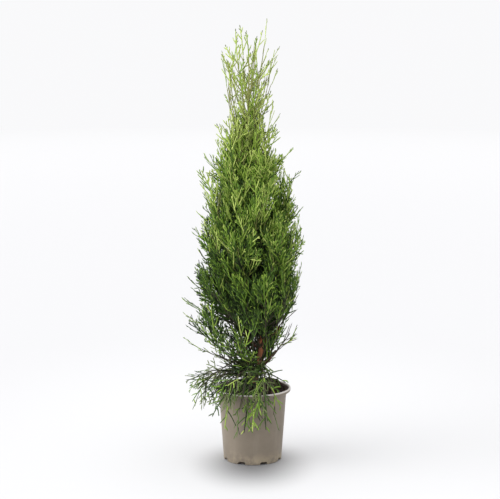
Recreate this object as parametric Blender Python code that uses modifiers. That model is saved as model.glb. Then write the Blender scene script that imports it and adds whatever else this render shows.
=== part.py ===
"""A young columnar arborvitae in a round taupe nursery pot, built as separate solids.

Metres, +Z up, +X to the viewer's right, the viewer on the -Y side. The origin is the centre of the
pot's flat underside. The trunk stands on the soil and runs up through the crown. Boughs leave it low
down. Each mass of foliage is one solid: a stem, its side twigs and flat toothed sprays, fused.
"""

import math
import random

import bmesh
import bpy
import numpy as np
from mathutils import Matrix, Vector
from mathutils.bvhtree import BVHTree

GAP = 0.0003
ROOT_GAP = 0.0004

# Pot
POT_HEIGHT = 0.164
POT_FOOT_RADIUS = 0.065
POT_SHOULDER_RADIUS = 0.0747
POT_SHOULDER_HEIGHT = 0.143
POT_RIM_RADIUS = 0.085
POT_WALL = 0.0016
POT_FLOOR = 0.0022
POT_STEPS = 30
NOTCH_COUNT = 8
NOTCH_SIZE = (0.012, 0.019, 0.0042)

# Soil
SOIL_CROWN = 0.1725
SOIL_FLAT_RADIUS = 0.022
SOIL_EDGE_DROP = 0.020
SOIL_STEPS = 24

# Trunk: (height, x, y) of the bends in its centre line
TRUNK_BENDS = (
    (SOIL_CROWN + GAP, 0.003, 0.000),
    (0.222, 0.014, 0.001),
    (0.268, 0.020, 0.002),
    (0.325, 0.011, 0.003),
    (0.400, -0.004, 0.000),
    (0.500, -0.008, -0.003),
    (0.600, -0.015, 0.000),
    (0.720, -0.012, 0.003),
    (0.850, -0.008, 0.000),
    (0.925, -0.010, -0.001),
)
TRUNK_RADIUS = 0.0062
TRUNK_TIP_RADIUS = 0.0010
TRUNK_TAPER = 1.2
FLARE = 0.0042
FLARE_HEIGHT = 0.011
FLARE_RINGS = (0.0, 0.003, 0.007, 0.012, 0.019)
LOW_RING_STEP = 0.026
HIGH_RING_STEP = 0.055
HIGH_RINGS_FROM = 0.42
TRUNK_SIDES = 9

# Crown. Each tier: its name, how many masses it has, the degrees of azimuth that each one fills, the
# azimuth of the first, the height where their limbs leave the trunk, the height of their tips, the
# share of the limb that is bare bough, the spray length, its half width in lengths, and how many side
# twigs a stem has.
TIERS = (
    ("skirt", 4, 50, 137, 0.190, 0.122, 0.26, 0.054, 0.26, 4),
    ("low", 5, 72, 166, 0.212, 0.316, 0.36, 0.066, 0.27, 4),
    ("lower", 5, 72, 200, 0.268, 0.440, 0.30, 0.068, 0.27, 4),
    ("middle", 4, 90, 150, 0.338, 0.550, 0.20, 0.070, 0.27, 4),
    ("upper", 4, 90, 196, 0.420, 0.640, 0.00, 0.068, 0.27, 5),
    ("high", 4, 90, 150, 0.510, 0.730, 0.00, 0.064, 0.27, 5),
    ("neck", 3, 120, 215, 0.602, 0.820, 0.00, 0.060, 0.26, 5),
    ("plume", 3, 120, 165, 0.694, 0.915, 0.00, 0.060, 0.20, 5),
    ("tip", 3, 120, 215, 0.780, 0.968, 0.00, 0.062, 0.12, 4),
)
# The surface between two tiers leaves the trunk at a height and rises by a slope with distance.
TIER_FLOORS = (
    (0.000, 0.00),
    (0.198, 0.10),
    (0.243, 0.75),
    (0.314, 1.20),
    (0.392, 1.50),
    (0.482, 1.80),
    (0.572, 2.10),
    (0.668, 2.40),
    (0.758, 2.50),
    (1.300, 0.00),
)
# How far the crown stands from the trunk by height: to the left, and to the right
CROWN_OUTLINE = (
    (0.05, 0.118, 0.106),
    (0.12, 0.142, 0.106),
    (0.17, 0.156, 0.096),
    (0.23, 0.160, 0.084),
    (0.27, 0.178, 0.088),
    (0.32, 0.162, 0.098),
    (0.38, 0.144, 0.112),
    (0.45, 0.134, 0.122),
    (0.52, 0.130, 0.120),
    (0.59, 0.110, 0.114),
    (0.67, 0.108, 0.100),
    (0.72, 0.084, 0.078),
    (0.80, 0.060, 0.060),
    (0.89, 0.062, 0.070),
    (0.95, 0.052, 0.056),
    (0.985, 0.042, 0.046),
)
SEED = 7
SPACE_MARGIN = 0.0012
LIMB_MARGIN = 0.0012
BOUGH_RADIUS = 0.0027
BOUGH_TIP_RADIUS = 0.0019
STEM_RADIUS = 0.0017
STEM_TIP_RADIUS = 0.0008
TWIG_RADIUS = 0.0011
STEM_END = 0.74
SKIRT_CLEARANCE = 0.004
SKIRT_FLOOR = 0.056

# The teeth and notches down each side of a spray, in lengths and half widths
SPRAY_LEFT = ((0.38, 1.00), (0.52, 0.24), (0.82, 0.78), (0.76, 0.15))
SPRAY_RIGHT = ((0.60, 0.98), (0.60, 0.20))
SPRAY_RIDGE = 0.45
SPRAY_HALF_THICKNESS = 0.0007
SPRAY_ANGLE = 38.0
SPRAY_SINK = 0.0012
PROBE_STEP = 0.004

COLOURS = {
    "pot": ((0.40, 0.34, 0.28), 0.55),
    "soil": ((0.035, 0.020, 0.014), 0.95),
    "bark": ((0.24, 0.11, 0.06), 0.85),
    "foliage_deep": ((0.055, 0.12, 0.03), 0.6),
    "foliage_green": ((0.10, 0.21, 0.04), 0.6),
    "foliage_lime": ((0.26, 0.36, 0.07), 0.6),
}


def material(name):
    """The Principled material of one finish, made once."""
    found = bpy.data.materials.get(name)
    if found is None:
        colour, roughness = COLOURS[name]
        found = bpy.data.materials.new(name)
        found.use_nodes = True
        shader = found.node_tree.nodes["Principled BSDF"]
        shader.inputs["Base Color"].default_value = (*colour, 1.0)
        shader.inputs["Roughness"].default_value = roughness
        shader.inputs["Metallic"].default_value = 0.0
    return found


def clear_scene():
    for obj in list(bpy.data.objects):
        bpy.data.objects.remove(obj)


def new_collection(name):
    made = bpy.data.collections.new(name)
    bpy.context.scene.collection.children.link(made)
    return made


def add_mesh(name, mesh, collection, finish=None):
    obj = bpy.data.objects.new(name, mesh)
    collection.objects.link(obj)
    if finish:
        mesh.materials.clear()
        mesh.materials.append(material(finish))
    return obj


def hermite(rows, height):
    """A smooth line through rows of (height, values...), read at a height. Its slope at each row is
    that of the chord between the rows on either side."""
    last = len(rows) - 1
    height = min(max(height, rows[0][0]), rows[last][0])
    at = next(i for i in range(last) if height <= rows[i + 1][0])
    low, high = rows[at], rows[at + 1]
    before, after = rows[max(at - 1, 0)], rows[min(at + 2, last)]
    span = high[0] - low[0]
    t = (height - low[0]) / span
    read = []
    for column in range(1, len(low)):
        slope_low = (high[column] - before[column]) / (high[0] - before[0]) * span
        slope_high = (after[column] - low[column]) / (after[0] - low[0]) * span
        read.append(
            (2 * t**3 - 3 * t**2 + 1) * low[column]
            + (t**3 - 2 * t**2 + t) * slope_low
            + (3 * t**2 - 2 * t**3) * high[column]
            + (t**3 - t**2) * slope_high
        )
    return read


def ring_heights():
    """Heights of the trunk's rings: bunched in the flare, close along the bow above it, then wider."""
    foot, top = TRUNK_BENDS[0][0], TRUNK_BENDS[-1][0]
    heights = [foot + rise for rise in FLARE_RINGS]
    while heights[-1] < top:
        step = LOW_RING_STEP if heights[-1] < HIGH_RINGS_FROM else HIGH_RING_STEP
        heights.append(min(heights[-1] + step, top))
    return heights


RINGS = ring_heights()
RING_CENTRES = [hermite(TRUNK_BENDS, max(height, RINGS[1])) for height in RINGS]


def trunk_point(height):
    """A place on the straight lengths that join the trunk's rings."""
    x, y = (np.interp(height, RINGS, column) for column in zip(*RING_CENTRES))
    return Vector((x, y, height))


def trunk_radius(height):
    """Tapers by a power of the height left to the tip, with a flare that dies away above the soil."""
    foot, top = TRUNK_BENDS[0][0], TRUNK_BENDS[-1][0]
    left = max(0.0, (top - height) / (top - foot))
    taper = TRUNK_TIP_RADIUS + (TRUNK_RADIUS - TRUNK_TIP_RADIUS) * left**TRUNK_TAPER
    return taper + FLARE * math.exp(-(height - foot) / FLARE_HEIGHT)


def reader(value, column):
    """Reads one column of a function of height from a fine table, for whole arrays of heights."""
    heights = np.linspace(0.0, 1.0, 401)
    table = np.array([value(height)[column] for height in heights])
    return lambda height: np.interp(height, heights, table)


TRUNK_X = reader(trunk_point, 0)
TRUNK_Y = reader(trunk_point, 1)
TRUNK_SIZE = reader(lambda height: [trunk_radius(max(height, TRUNK_BENDS[0][0]))], 0)
LEFT_REACH = reader(lambda height: hermite(CROWN_OUTLINE, height), 0)
RIGHT_REACH = reader(lambda height: hermite(CROWN_OUTLINE, height), 1)


def section_curve(name, sides, collection):
    """A closed line of unit radius: the section that a limb or twig carries along its line."""
    curve = bpy.data.curves.new(name, "CURVE")
    curve.dimensions = "2D"
    spline = curve.splines.new("POLY")
    spline.points.add(sides - 1)
    for i, point in enumerate(spline.points):
        turn = math.tau * i / sides + math.pi / 2
        point.co = (math.cos(turn), math.sin(turn), 0.0, 1.0)
    spline.use_cyclic_u = True
    guide = bpy.data.objects.new(name, curve)
    collection.objects.link(guide)
    guide.hide_render = True
    guide.display_type = "WIRE"
    return guide


def limb(name, points, radii, section, collection, finish=None):
    """A tapering limb: a curve through points that carries a section scaled by each point's radius.
    It is made a mesh with its caps welded."""
    curve = bpy.data.curves.new(name, "CURVE")
    curve.dimensions = "3D"
    curve.twist_mode = "MINIMUM"
    curve.use_fill_caps = True
    curve.bevel_mode = "OBJECT"
    curve.bevel_object = section
    spline = curve.splines.new("POLY")
    spline.points.add(len(points) - 1)
    for point, place, radius in zip(spline.points, points, radii):
        point.co = (*place, 1.0)
        point.radius = radius
    guide = bpy.data.objects.new(name + "_line", curve)
    collection.objects.link(guide)
    bpy.context.view_layer.update()
    evaluated = guide.evaluated_get(bpy.context.evaluated_depsgraph_get())
    mesh = bpy.data.meshes.new_from_object(evaluated)
    bpy.data.objects.remove(guide)
    shape = bmesh.new()
    shape.from_mesh(mesh)
    bmesh.ops.remove_doubles(shape, verts=shape.verts, dist=1e-6)
    bmesh.ops.recalc_face_normals(shape, faces=shape.faces)
    shape.to_mesh(mesh)
    shape.free()
    return add_mesh(name, mesh, collection, finish)


def turned(name, profile, steps, collection, finish):
    """A turned solid: a closed profile of (radius, height), down its outer side first, on a Screw."""
    mesh = bpy.data.meshes.new(name)
    corners = [(radius, 0.0, height) for radius, height in profile]
    edges = [(i, i + 1) for i in range(len(corners) - 1) if profile[i][0] + profile[i + 1][0] > 0]
    mesh.from_pydata(corners, edges, [])
    obj = add_mesh(name, mesh, collection, finish)
    screw = obj.modifiers.new("turn", "SCREW")
    screw.steps = screw.render_steps = steps
    screw.use_merge_vertices = True
    screw.merge_threshold = 0.00005
    screw.use_smooth_shade = True
    return obj


def pot_profile():
    """Outer side from the rounded rim down to the underside, then the inner side up again. Its last
    point is its first, so that the section is closed where it doesn't meet the axis."""
    rim, top = POT_RIM_RADIUS, POT_HEIGHT
    shoulder, high = POT_SHOULDER_RADIUS, POT_SHOULDER_HEIGHT
    foot, wall, floor = POT_FOOT_RADIUS, POT_WALL, POT_FLOOR
    outer = [
        (rim - 0.0016, top),
        (rim, top - 0.0014),
        (rim - 0.0012, top - 0.0044),
        (rim - 0.0050, top - 0.0080),
        (rim - 0.0085, top - 0.0140),
        (shoulder, high),
        (foot + 0.0006, 0.0020),
        (foot - 0.0008, 0.0),
        (0.0, 0.0),
    ]
    inner = [
        (0.0, floor),
        (foot - wall, floor),
        (shoulder - wall, high),
        (rim - 0.0101, top - 0.0136),
        (rim - 0.0064, top - 0.0072),
        (rim - 0.0016, top),
    ]
    return outer, inner


def make_pot(collection, cutters):
    outer, inner = pot_profile()
    pot = turned("pot", outer + inner, POT_STEPS, collection, "pot")
    depth, width, height = NOTCH_SIZE
    for i in range(NOTCH_COUNT):
        turn = math.radians(360 * (i + 0.5) / NOTCH_COUNT)
        bpy.ops.mesh.primitive_cube_add(size=1.0)
        notch = bpy.context.object
        notch.name = f"notch_{i}"
        notch.dimensions = (depth, width, 2 * height)
        notch.location = (POT_FOOT_RADIUS * math.cos(turn), POT_FOOT_RADIUS * math.sin(turn), 0.0)
        notch.rotation_euler.z = turn
        for owner in list(notch.users_collection):
            owner.objects.unlink(notch)
        cutters.objects.link(notch)
        notch.hide_render = True
        notch.display_type = "WIRE"
    cut = pot.modifiers.new("drain_notches", "BOOLEAN")
    cut.operand_type = "COLLECTION"
    cut.collection = cutters
    cut.operation = "DIFFERENCE"
    cut.solver = "EXACT"
    return pot


def make_soil(collection):
    """A plug that fills the pot to its wall and domes up to a flat where the trunk stands."""
    inner = POT_SHOULDER_RADIUS - POT_WALL - GAP - 0.0004
    foot = POT_FOOT_RADIUS - POT_WALL - GAP - 0.0004
    edge_height = SOIL_CROWN - SOIL_EDGE_DROP
    dome = []
    for step in range(5):
        share = step / 5
        radius = SOIL_FLAT_RADIUS + (inner - SOIL_FLAT_RADIUS) * share
        dome.append((radius, SOIL_CROWN - SOIL_EDGE_DROP * share**2.2))
    wall_top = inner + (edge_height - POT_SHOULDER_HEIGHT) * 0.25
    profile = (
        [(0.0, SOIL_CROWN)]
        + dome
        + [(wall_top, edge_height), (inner, POT_SHOULDER_HEIGHT)]
        + [(foot, POT_FLOOR + GAP), (0.0, POT_FLOOR + GAP)]
    )
    return turned("soil", profile, SOIL_STEPS, collection, "soil")


def make_trunk(section, collection):
    points = [trunk_point(height) for height in RINGS]
    limb("trunk", points, [trunk_radius(height) for height in RINGS], section, collection, "bark")


def bezier(first, handle, last, share):
    return first.lerp(handle, share).lerp(handle.lerp(last, share), share)


def crown_reach(height, bearing):
    """How far the crown stands from the trunk at a height, on one side of it."""
    left, right = LEFT_REACH(height), RIGHT_REACH(height)
    return (left + right) / 2 - (left - right) / 2 * np.cos(bearing)


class Mass:
    """One mass of foliage: its place among the tiers, its limb and the space that it keeps to."""

    def __init__(self, tier_index, place):
        name, count, spread, first, attach, tip, bare, spray, width, twigs = TIERS[tier_index]
        self.random = random.Random(SEED * 1000 + tier_index * 20 + place)
        self.name = f"{name}_{place + 1}"
        self.tier = tier_index
        self.bare = bare
        self.spray = spray
        self.width = width
        self.twigs = twigs
        self.skirt = tier_index == 0
        self.half_angle = math.radians(spread / 2)
        self.azimuth = math.radians(first + spread * place)
        swing = self.azimuth + self.random.uniform(-0.25, 0.25) * self.half_angle
        attach += (place - (count - 1) / 2) * 0.0075
        tip += self.random.uniform(-0.012, 0.012)
        self.full_reach = self.random.uniform(0.94, 1.05)
        reach = crown_reach(tip, swing) * self.full_reach * 0.96
        away = Vector((math.cos(swing), math.sin(swing), 0.0))
        across = Vector((-away.y, away.x, 0.0)) * self.random.uniform(-0.10, 0.10) * reach
        self.away = away
        run = (trunk_point(attach + 0.004) - trunk_point(attach - 0.004)).normalized()
        square = (away - run * away.dot(run)).normalized()
        start = trunk_radius(attach - BOUGH_RADIUS) + ROOT_GAP
        out, rise = (0.80, attach + 0.050) if self.skirt else (0.62, attach + 0.32 * (tip - attach))
        base = trunk_point(attach)
        end = trunk_point(tip)
        self.root = base + square * start
        self.collar = base + square * (start + 0.003)
        self.handle = base + away * reach * out + across + Vector((0, 0, rise - attach))
        self.tip = Vector((end.x, end.y, tip)) + away * reach + across * 1.6

    def on_limb(self, share):
        return bezier(self.collar, self.handle, self.tip, share)

    def bough_line(self):
        """Points along the bare bough: flat against the trunk, then up the limb's curve."""
        steps = 4
        line = [self.on_limb(self.bare * step / steps) for step in range(steps + 1)]
        return [self.root] + line

    def stem_line(self):
        """Points along the stem inside the mass, from the bough's end or from the trunk."""
        steps = 3
        first = self.bare
        line = [self.on_limb(first + (STEM_END - first) * s / steps) for s in range(steps + 1)]
        if self.bare > 0:
            line[0] = line[0] + (line[1] - line[0]).normalized() * GAP * 1.5
            return line
        return [self.root] + line

    def keeps(self, points):
        """True where every point is inside the mass's own space: between its two neighbours round
        the trunk, between the tiers below and above, in the crown's outline and outside the pot."""
        height = points[:, 2]
        out_x = points[:, 0] - TRUNK_X(height)
        out_y = points[:, 1] - TRUNK_Y(height)
        distance = np.hypot(out_x, out_y)
        bearing = np.arctan2(out_y, out_x)
        turn = np.abs((bearing - self.azimuth + math.pi) % math.tau - math.pi)
        aside = distance * np.sin(np.minimum(self.half_angle - turn, math.pi / 2))
        low, high = TIER_FLOORS[self.tier], TIER_FLOORS[self.tier + 1]
        good = (distance > TRUNK_SIZE(height) + LIMB_MARGIN) & (aside > SPACE_MARGIN)
        good &= height < high[0] + high[1] * distance - SPACE_MARGIN
        good &= distance < crown_reach(height, bearing) * self.full_reach
        if not self.skirt:
            return bool((good & (height > low[0] + low[1] * distance + SPACE_MARGIN)).all())
        above = height > max(POT_HEIGHT, SOIL_CROWN) + SKIRT_CLEARANCE
        beside = np.hypot(points[:, 0], points[:, 1]) > POT_RIM_RADIUS + SKIRT_CLEARANCE
        return bool((good & (above | beside) & (height > SKIRT_FLOOR)).all())


class Limbs:
    """Every bare bough as short straight lengths, each with a radius at both ends."""

    def __init__(self):
        self.starts, self.ends, self.first, self.last = [], [], [], []

    def add(self, line, radii):
        self.starts += line[:-1]
        self.ends += line[1:]
        self.first += radii[:-1]
        self.last += radii[1:]

    def freeze(self):
        self.starts, self.ends = np.array(self.starts), np.array(self.ends)
        self.first, self.last = np.array(self.first), np.array(self.last)

    def clear(self, points):
        """True where every point stands clear of every bough."""
        along = self.ends - self.starts
        apart = points[:, None, :] - self.starts
        share = np.clip((apart * along).sum(-1) / (along * along).sum(-1), 0.0, 1.0)
        gap = np.linalg.norm(apart - share[..., None] * along, axis=-1)
        return bool((gap - self.first - (self.last - self.first) * share > LIMB_MARGIN).all())


def probes(start, end):
    """Points a few millimetres apart from one place to another, without the first."""
    count = max(2, math.ceil((end - start).length / PROBE_STEP))
    return [start.lerp(end, step / count) for step in range(1, count + 1)]


def spray_probes(frame, length, width):
    """Points over a spray: along its axis and out along each of its teeth."""
    points = probes(frame.translation, frame @ Vector((length, 0, 0)))[1:]
    teeth = [(x, y) for x, y in SPRAY_LEFT[::2]] + [(x, -y) for x, y in SPRAY_RIGHT[::2]]
    for x, y in teeth:
        base = frame @ Vector((length * (x - 0.2), 0, 0))
        points += probes(base, frame @ Vector((length * x, length * width * y, 0)))
    return points


def frame_along(place, way, side):
    """A frame at a place with +X along a way and +Y as near to a side as it can be."""
    x = way.normalized()
    y = (side - x * side.dot(x)).normalized()
    turn = Matrix((x, y, x.cross(y))).transposed()
    return Matrix.Translation(place) @ turn.to_4x4()


def turned_about(vector, axis, angle):
    return Matrix.Rotation(angle, 3, axis) @ vector


def spray_solid(frame, length, width):
    """A spray as points and faces: a toothed outline round one ridge point above it and one below."""
    outline = [(0, 0), *SPRAY_LEFT, (1, 0), *((x, -y) for x, y in reversed(SPRAY_RIGHT))]
    points = [frame @ Vector((length * x, length * width * y, 0)) for x, y in outline]
    rim = len(points)
    for height in (-SPRAY_HALF_THICKNESS, SPRAY_HALF_THICKNESS):
        points.append(frame @ Vector((length * SPRAY_RIDGE, 0, height)))
    faces = []
    for i in range(rim):
        after = (i + 1) % rim
        faces += [(i, after, rim), (after, i, rim + 1)]
    return points, faces


class Growth:
    """The growth rule. A stem bears side twigs that leave it by turns to its left and right, and
    flat sprays that leave stem and twigs by turns, each twisted from the last. What would leave the
    mass's space, touch a limb or cross a spray already grown is tried shorter, then skipped."""

    def __init__(self, mass, limbs):
        self.mass = mass
        self.limbs = limbs
        self.draw = mass.random
        self.twigs = []
        self.sprays = []
        self.trees = []
        self.grow()

    def clear(self, points):
        probe = np.array(points)
        return self.mass.keeps(probe) and self.limbs.clear(probe)

    def stem_at(self, share):
        """A place on the stem, and the way that the stem runs there."""
        mass = self.mass
        at = mass.bare + (STEM_END - mass.bare) * share
        place = mass.on_limb(at)
        return place, (mass.on_limb(at + 0.02) - place).normalized()

    def droop(self, way, share):
        """A skirt twig bends down as it leaves the pot."""
        return (way + Vector((0, 0, -0.55 * share))).normalized() if self.mass.skirt else way

    def add_spray(self, place, way, side, length):
        frame = frame_along(place - way * SPRAY_SINK, way, side)
        for shorter in (1.0, 0.85, 0.7):
            size = length * shorter
            if not self.clear(spray_probes(frame, size, self.mass.width)):
                continue
            points, faces = spray_solid(frame, size, self.mass.width)
            tree = BVHTree.FromPolygons(points, faces)
            if any(tree.overlap(other) for other in self.trees):
                continue
            self.trees.append(tree)
            self.sprays.append((points, faces))
            return

    def add_twig(self, share, hand, reach):
        place, way = self.stem_at(share)
        side = way.cross(Vector((0, 0, 1))).normalized() * hand
        lean = math.radians(self.draw.uniform(32, 48))
        out = way * math.cos(lean) + side * math.sin(lean)
        out = self.droop(turned_about(out, way, self.draw.uniform(-0.6, 0.6)), share)
        twist = self.draw.uniform(-0.9, 0.9)
        hands = self.draw.choice((-1, 1))
        spots = (self.draw.uniform(0.30, 0.45), self.draw.uniform(0.62, 0.78))
        for shorter in (1.0, 0.8, 0.62, 0.48):
            end = place + out * reach * shorter
            if self.clear(probes(place, end)):
                break
        else:
            return
        self.twigs.append((place, end))
        facing = turned_about(out.cross(side).normalized(), out, twist)
        across = out.cross(facing)
        spray = self.mass.spray
        self.add_spray(place.lerp(end, 0.90), out, across, spray * 0.96)
        for turn, at in ((hands, spots[0]), (-hands, spots[1])):
            angle = math.radians(SPRAY_ANGLE) * turn
            way_out = out * math.cos(angle) + across * math.sin(angle)
            self.add_spray(place.lerp(end, at), way_out, facing.cross(way_out), spray * 0.86)

    def grow(self):
        mass, draw = self.mass, self.draw
        first = 0.10 if mass.bare > 0 else 0.20
        place, way = self.stem_at(0.97)
        side = turned_about(way.cross(Vector((0, 0, 1))).normalized(), way, draw.uniform(-0.8, 0.8))
        ahead = mass.tip - place
        self.add_spray(place, ahead.normalized(), side, max(ahead.length, mass.spray))
        for i in range(mass.twigs):
            share = first + (0.86 - first) * (i + 0.5) / mass.twigs + draw.uniform(-0.03, 0.03)
            hand = 1 if (i + mass.tier) % 2 else -1
            self.add_twig(share, hand, mass.spray * draw.uniform(0.75, 1.0) * (1.15 - 0.45 * share))
        spin = draw.uniform(0, math.tau)
        for i in range(mass.twigs):
            share = first + (0.92 - first) * (i + 0.2) / mass.twigs + draw.uniform(-0.02, 0.02)
            place, way = self.stem_at(share)
            side = turned_about(way.orthogonal().normalized(), way, spin + i * 2.4)
            angle = math.radians(draw.uniform(30, 44))
            out = self.droop(way * math.cos(angle) + side * math.sin(angle), share)
            across = turned_about(side.cross(out).cross(out), out, draw.uniform(-0.6, 0.6))
            self.add_spray(place, out, across, mass.spray)


def tapered(count, first, last):
    return [first + (last - first) * i / (count - 1) for i in range(count)]


def drop_scraps(mesh):
    """Keeps the largest connected part of a mesh, where a sliver of a union came away from it."""
    shape = bmesh.new()
    shape.from_mesh(mesh)
    left = set(shape.verts)
    groups = []
    while left:
        group, edge = set(), {left.pop()}
        while edge:
            group |= edge
            edge = {link.other_vert(vert) for vert in edge for link in vert.link_edges} - group
        left -= group
        groups.append(group)
    loose = set().union(*groups) - max(groups, key=len)
    bmesh.ops.delete(shape, geom=list(loose), context="VERTS")
    shape.to_mesh(mesh)
    shape.free()


def finish_of(mass):
    return ("foliage_deep", "foliage_green", "foliage_lime")[min(mass.tier // 3, 2)]


def make_mass(mass, limbs, section, collection):
    """Grows the mass, joins its twigs and sprays to its stem in one union, and applies it."""
    growth = Growth(mass, limbs)
    name = mass.name + "_foliage"
    pieces = new_collection(name + "_pieces")
    stem = mass.stem_line()
    radii = tapered(len(stem), STEM_RADIUS, STEM_TIP_RADIUS)
    body = limb(name, stem, radii, section, collection, finish_of(mass))
    for i, ends in enumerate(growth.twigs):
        limb(f"{name}_twig_{i}", ends, (TWIG_RADIUS, STEM_TIP_RADIUS), section, pieces)
    for i, (points, faces) in enumerate(growth.sprays):
        mesh = bpy.data.meshes.new(f"{name}_spray_{i}")
        mesh.from_pydata(points, [], faces)
        add_mesh(mesh.name, mesh, pieces)
    bpy.context.view_layer.update()
    join = body.modifiers.new("join", "BOOLEAN")
    join.operand_type = "COLLECTION"
    join.collection = pieces
    join.operation = "UNION"
    join.solver = "EXACT"
    evaluated = body.evaluated_get(bpy.context.evaluated_depsgraph_get())
    joined = bpy.data.meshes.new_from_object(evaluated)
    drop_scraps(joined)
    body.modifiers.clear()
    body.data = joined
    joined.materials.clear()
    joined.materials.append(material(finish_of(mass)))
    for piece in list(pieces.objects):
        bpy.data.objects.remove(piece)
    bpy.data.collections.remove(pieces)
    return body


def main():
    clear_scene()
    plant = new_collection("potted_arborvitae")
    cutters = new_collection("cutters")
    guides = new_collection("guides")
    trunk_section = section_curve("trunk_section", TRUNK_SIDES, guides)
    bough_section = section_curve("bough_section", 5, guides)
    twig_section = section_curve("twig_section", 3, guides)
    make_pot(plant, cutters)
    make_soil(plant)
    make_trunk(trunk_section, plant)
    masses = [Mass(tier, place) for tier, row in enumerate(TIERS) for place in range(row[1])]
    limbs = Limbs()
    for mass in masses:
        if mass.bare > 0:
            line = mass.bough_line()
            radii = tapered(len(line), BOUGH_RADIUS, BOUGH_TIP_RADIUS)
            limb(mass.name + "_bough", line, radii, bough_section, plant, "bark")
            limbs.add(line, radii)
    limbs.freeze()
    for mass in masses:
        make_mass(mass, limbs, twig_section, plant)


main()
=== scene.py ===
"""The looks of a young columnar arborvitae in a taupe nursery pot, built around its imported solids.

Metres, +Z up, +X to the viewer's right, the viewer on the -Y side. The crown grows on from the limbs
by the rule of the solids, written again here, and is carried on to finer twigs and scaly branchlets.
"""

import functools
import math
import random

import bpy
import numpy as np
from bpy.props import FloatProperty, FloatVectorProperty, IntProperty, PointerProperty
from bpy.types import Operator, Panel, PropertyGroup
from mathutils import Matrix, Vector


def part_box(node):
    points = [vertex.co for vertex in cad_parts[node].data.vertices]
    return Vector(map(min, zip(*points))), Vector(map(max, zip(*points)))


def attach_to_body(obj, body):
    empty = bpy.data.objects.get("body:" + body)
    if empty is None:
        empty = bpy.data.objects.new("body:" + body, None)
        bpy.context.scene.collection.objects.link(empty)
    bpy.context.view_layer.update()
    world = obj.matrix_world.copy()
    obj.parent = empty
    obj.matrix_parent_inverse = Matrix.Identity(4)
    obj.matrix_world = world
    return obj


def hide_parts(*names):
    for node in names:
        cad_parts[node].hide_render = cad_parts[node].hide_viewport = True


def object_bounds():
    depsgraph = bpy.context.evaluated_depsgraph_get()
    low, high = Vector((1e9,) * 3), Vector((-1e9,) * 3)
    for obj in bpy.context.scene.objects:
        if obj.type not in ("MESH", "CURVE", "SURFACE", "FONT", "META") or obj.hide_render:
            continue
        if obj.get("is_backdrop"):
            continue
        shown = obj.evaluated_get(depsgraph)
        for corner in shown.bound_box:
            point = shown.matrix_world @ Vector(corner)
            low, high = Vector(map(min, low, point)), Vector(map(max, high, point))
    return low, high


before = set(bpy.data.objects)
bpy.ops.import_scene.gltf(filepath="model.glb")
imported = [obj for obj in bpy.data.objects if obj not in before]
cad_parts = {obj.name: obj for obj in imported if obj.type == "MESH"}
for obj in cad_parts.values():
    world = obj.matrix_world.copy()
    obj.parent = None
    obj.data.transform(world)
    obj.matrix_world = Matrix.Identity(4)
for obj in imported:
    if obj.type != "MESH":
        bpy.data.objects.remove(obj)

bl_info = {
    "name": "Potted Arborvitae",
    "version": (1, 0, 0),
    "blender": (4, 5, 0),
    "location": "3D View > Sidebar > Arborvitae",
    "description": "Dresses a potted columnar arborvitae: pot, soil, bark, twigs and scaly sprays",
    "category": "Add Mesh",
}

BODY = "root"
FRAME_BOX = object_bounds()

# The pot and the soil, from the frame
POT_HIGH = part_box("pot")[1]
POT_HEIGHT = POT_HIGH.z
POT_RIM_RADIUS = POT_HIGH.x
SOIL_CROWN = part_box("soil")[1].z
TRUNK_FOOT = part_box("trunk")[0].z
TRUNK_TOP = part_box("trunk")[1].z

# The growth rule of the solids, in metres and degrees. The trunk's line: height, X and Y
TRUNK_BENDS = (
    (TRUNK_FOOT, 0.003, 0.000),
    (0.222, 0.014, 0.001),
    (0.268, 0.020, 0.002),
    (0.325, 0.011, 0.003),
    (0.400, -0.004, 0.000),
    (0.500, -0.008, -0.003),
    (0.600, -0.015, 0.000),
    (0.720, -0.012, 0.003),
    (0.850, -0.008, 0.000),
    (0.925, -0.010, -0.001),
)
TRUNK_RADIUS = 0.0062
TRUNK_TIP_RADIUS = 0.0010
TRUNK_TAPER = 1.2
FLARE = 0.0042
FLARE_HEIGHT = 0.011
FLARE_RINGS = (0.0, 0.003, 0.007, 0.012, 0.019)
LOW_RING_STEP = 0.026
HIGH_RING_STEP = 0.055
HIGH_RINGS_FROM = 0.42
# Each tier of the crown: its name, how many masses it has, the degrees of azimuth that each one fills,
# the azimuth of the first, the height where their limbs leave the trunk, the height of their tips, the
# share of the limb that is bare bough, the spray length, its half width in lengths, and how many side
# twigs a stem has.
TIERS = (
    ("skirt", 4, 50, 137, 0.190, 0.122, 0.26, 0.054, 0.26, 4),
    ("low", 5, 72, 166, 0.212, 0.316, 0.36, 0.066, 0.27, 4),
    ("lower", 5, 72, 200, 0.268, 0.440, 0.30, 0.068, 0.27, 4),
    ("middle", 4, 90, 150, 0.338, 0.550, 0.20, 0.070, 0.27, 4),
    ("upper", 4, 90, 196, 0.420, 0.640, 0.00, 0.068, 0.27, 5),
    ("high", 4, 90, 150, 0.510, 0.730, 0.00, 0.064, 0.27, 5),
    ("neck", 3, 120, 215, 0.602, 0.820, 0.00, 0.060, 0.26, 5),
    ("plume", 3, 120, 165, 0.694, 0.915, 0.00, 0.060, 0.20, 5),
    ("tip", 3, 120, 215, 0.780, 0.968, 0.00, 0.062, 0.12, 4),
)
# The tiers that a rule names, by their place in that list
SKIRT, LOW, MIDDLE, NECK, PLUME, TIP = 0, 1, 3, 6, 7, 8
# The surface between two tiers leaves the trunk at a height and rises by a slope with distance.
TIER_FLOORS = (
    (0.000, 0.00),
    (0.198, 0.10),
    (0.243, 0.75),
    (0.314, 1.20),
    (0.392, 1.50),
    (0.482, 1.80),
    (0.572, 2.10),
    (0.668, 2.40),
    (0.758, 2.50),
    (1.300, 0.00),
)
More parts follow.
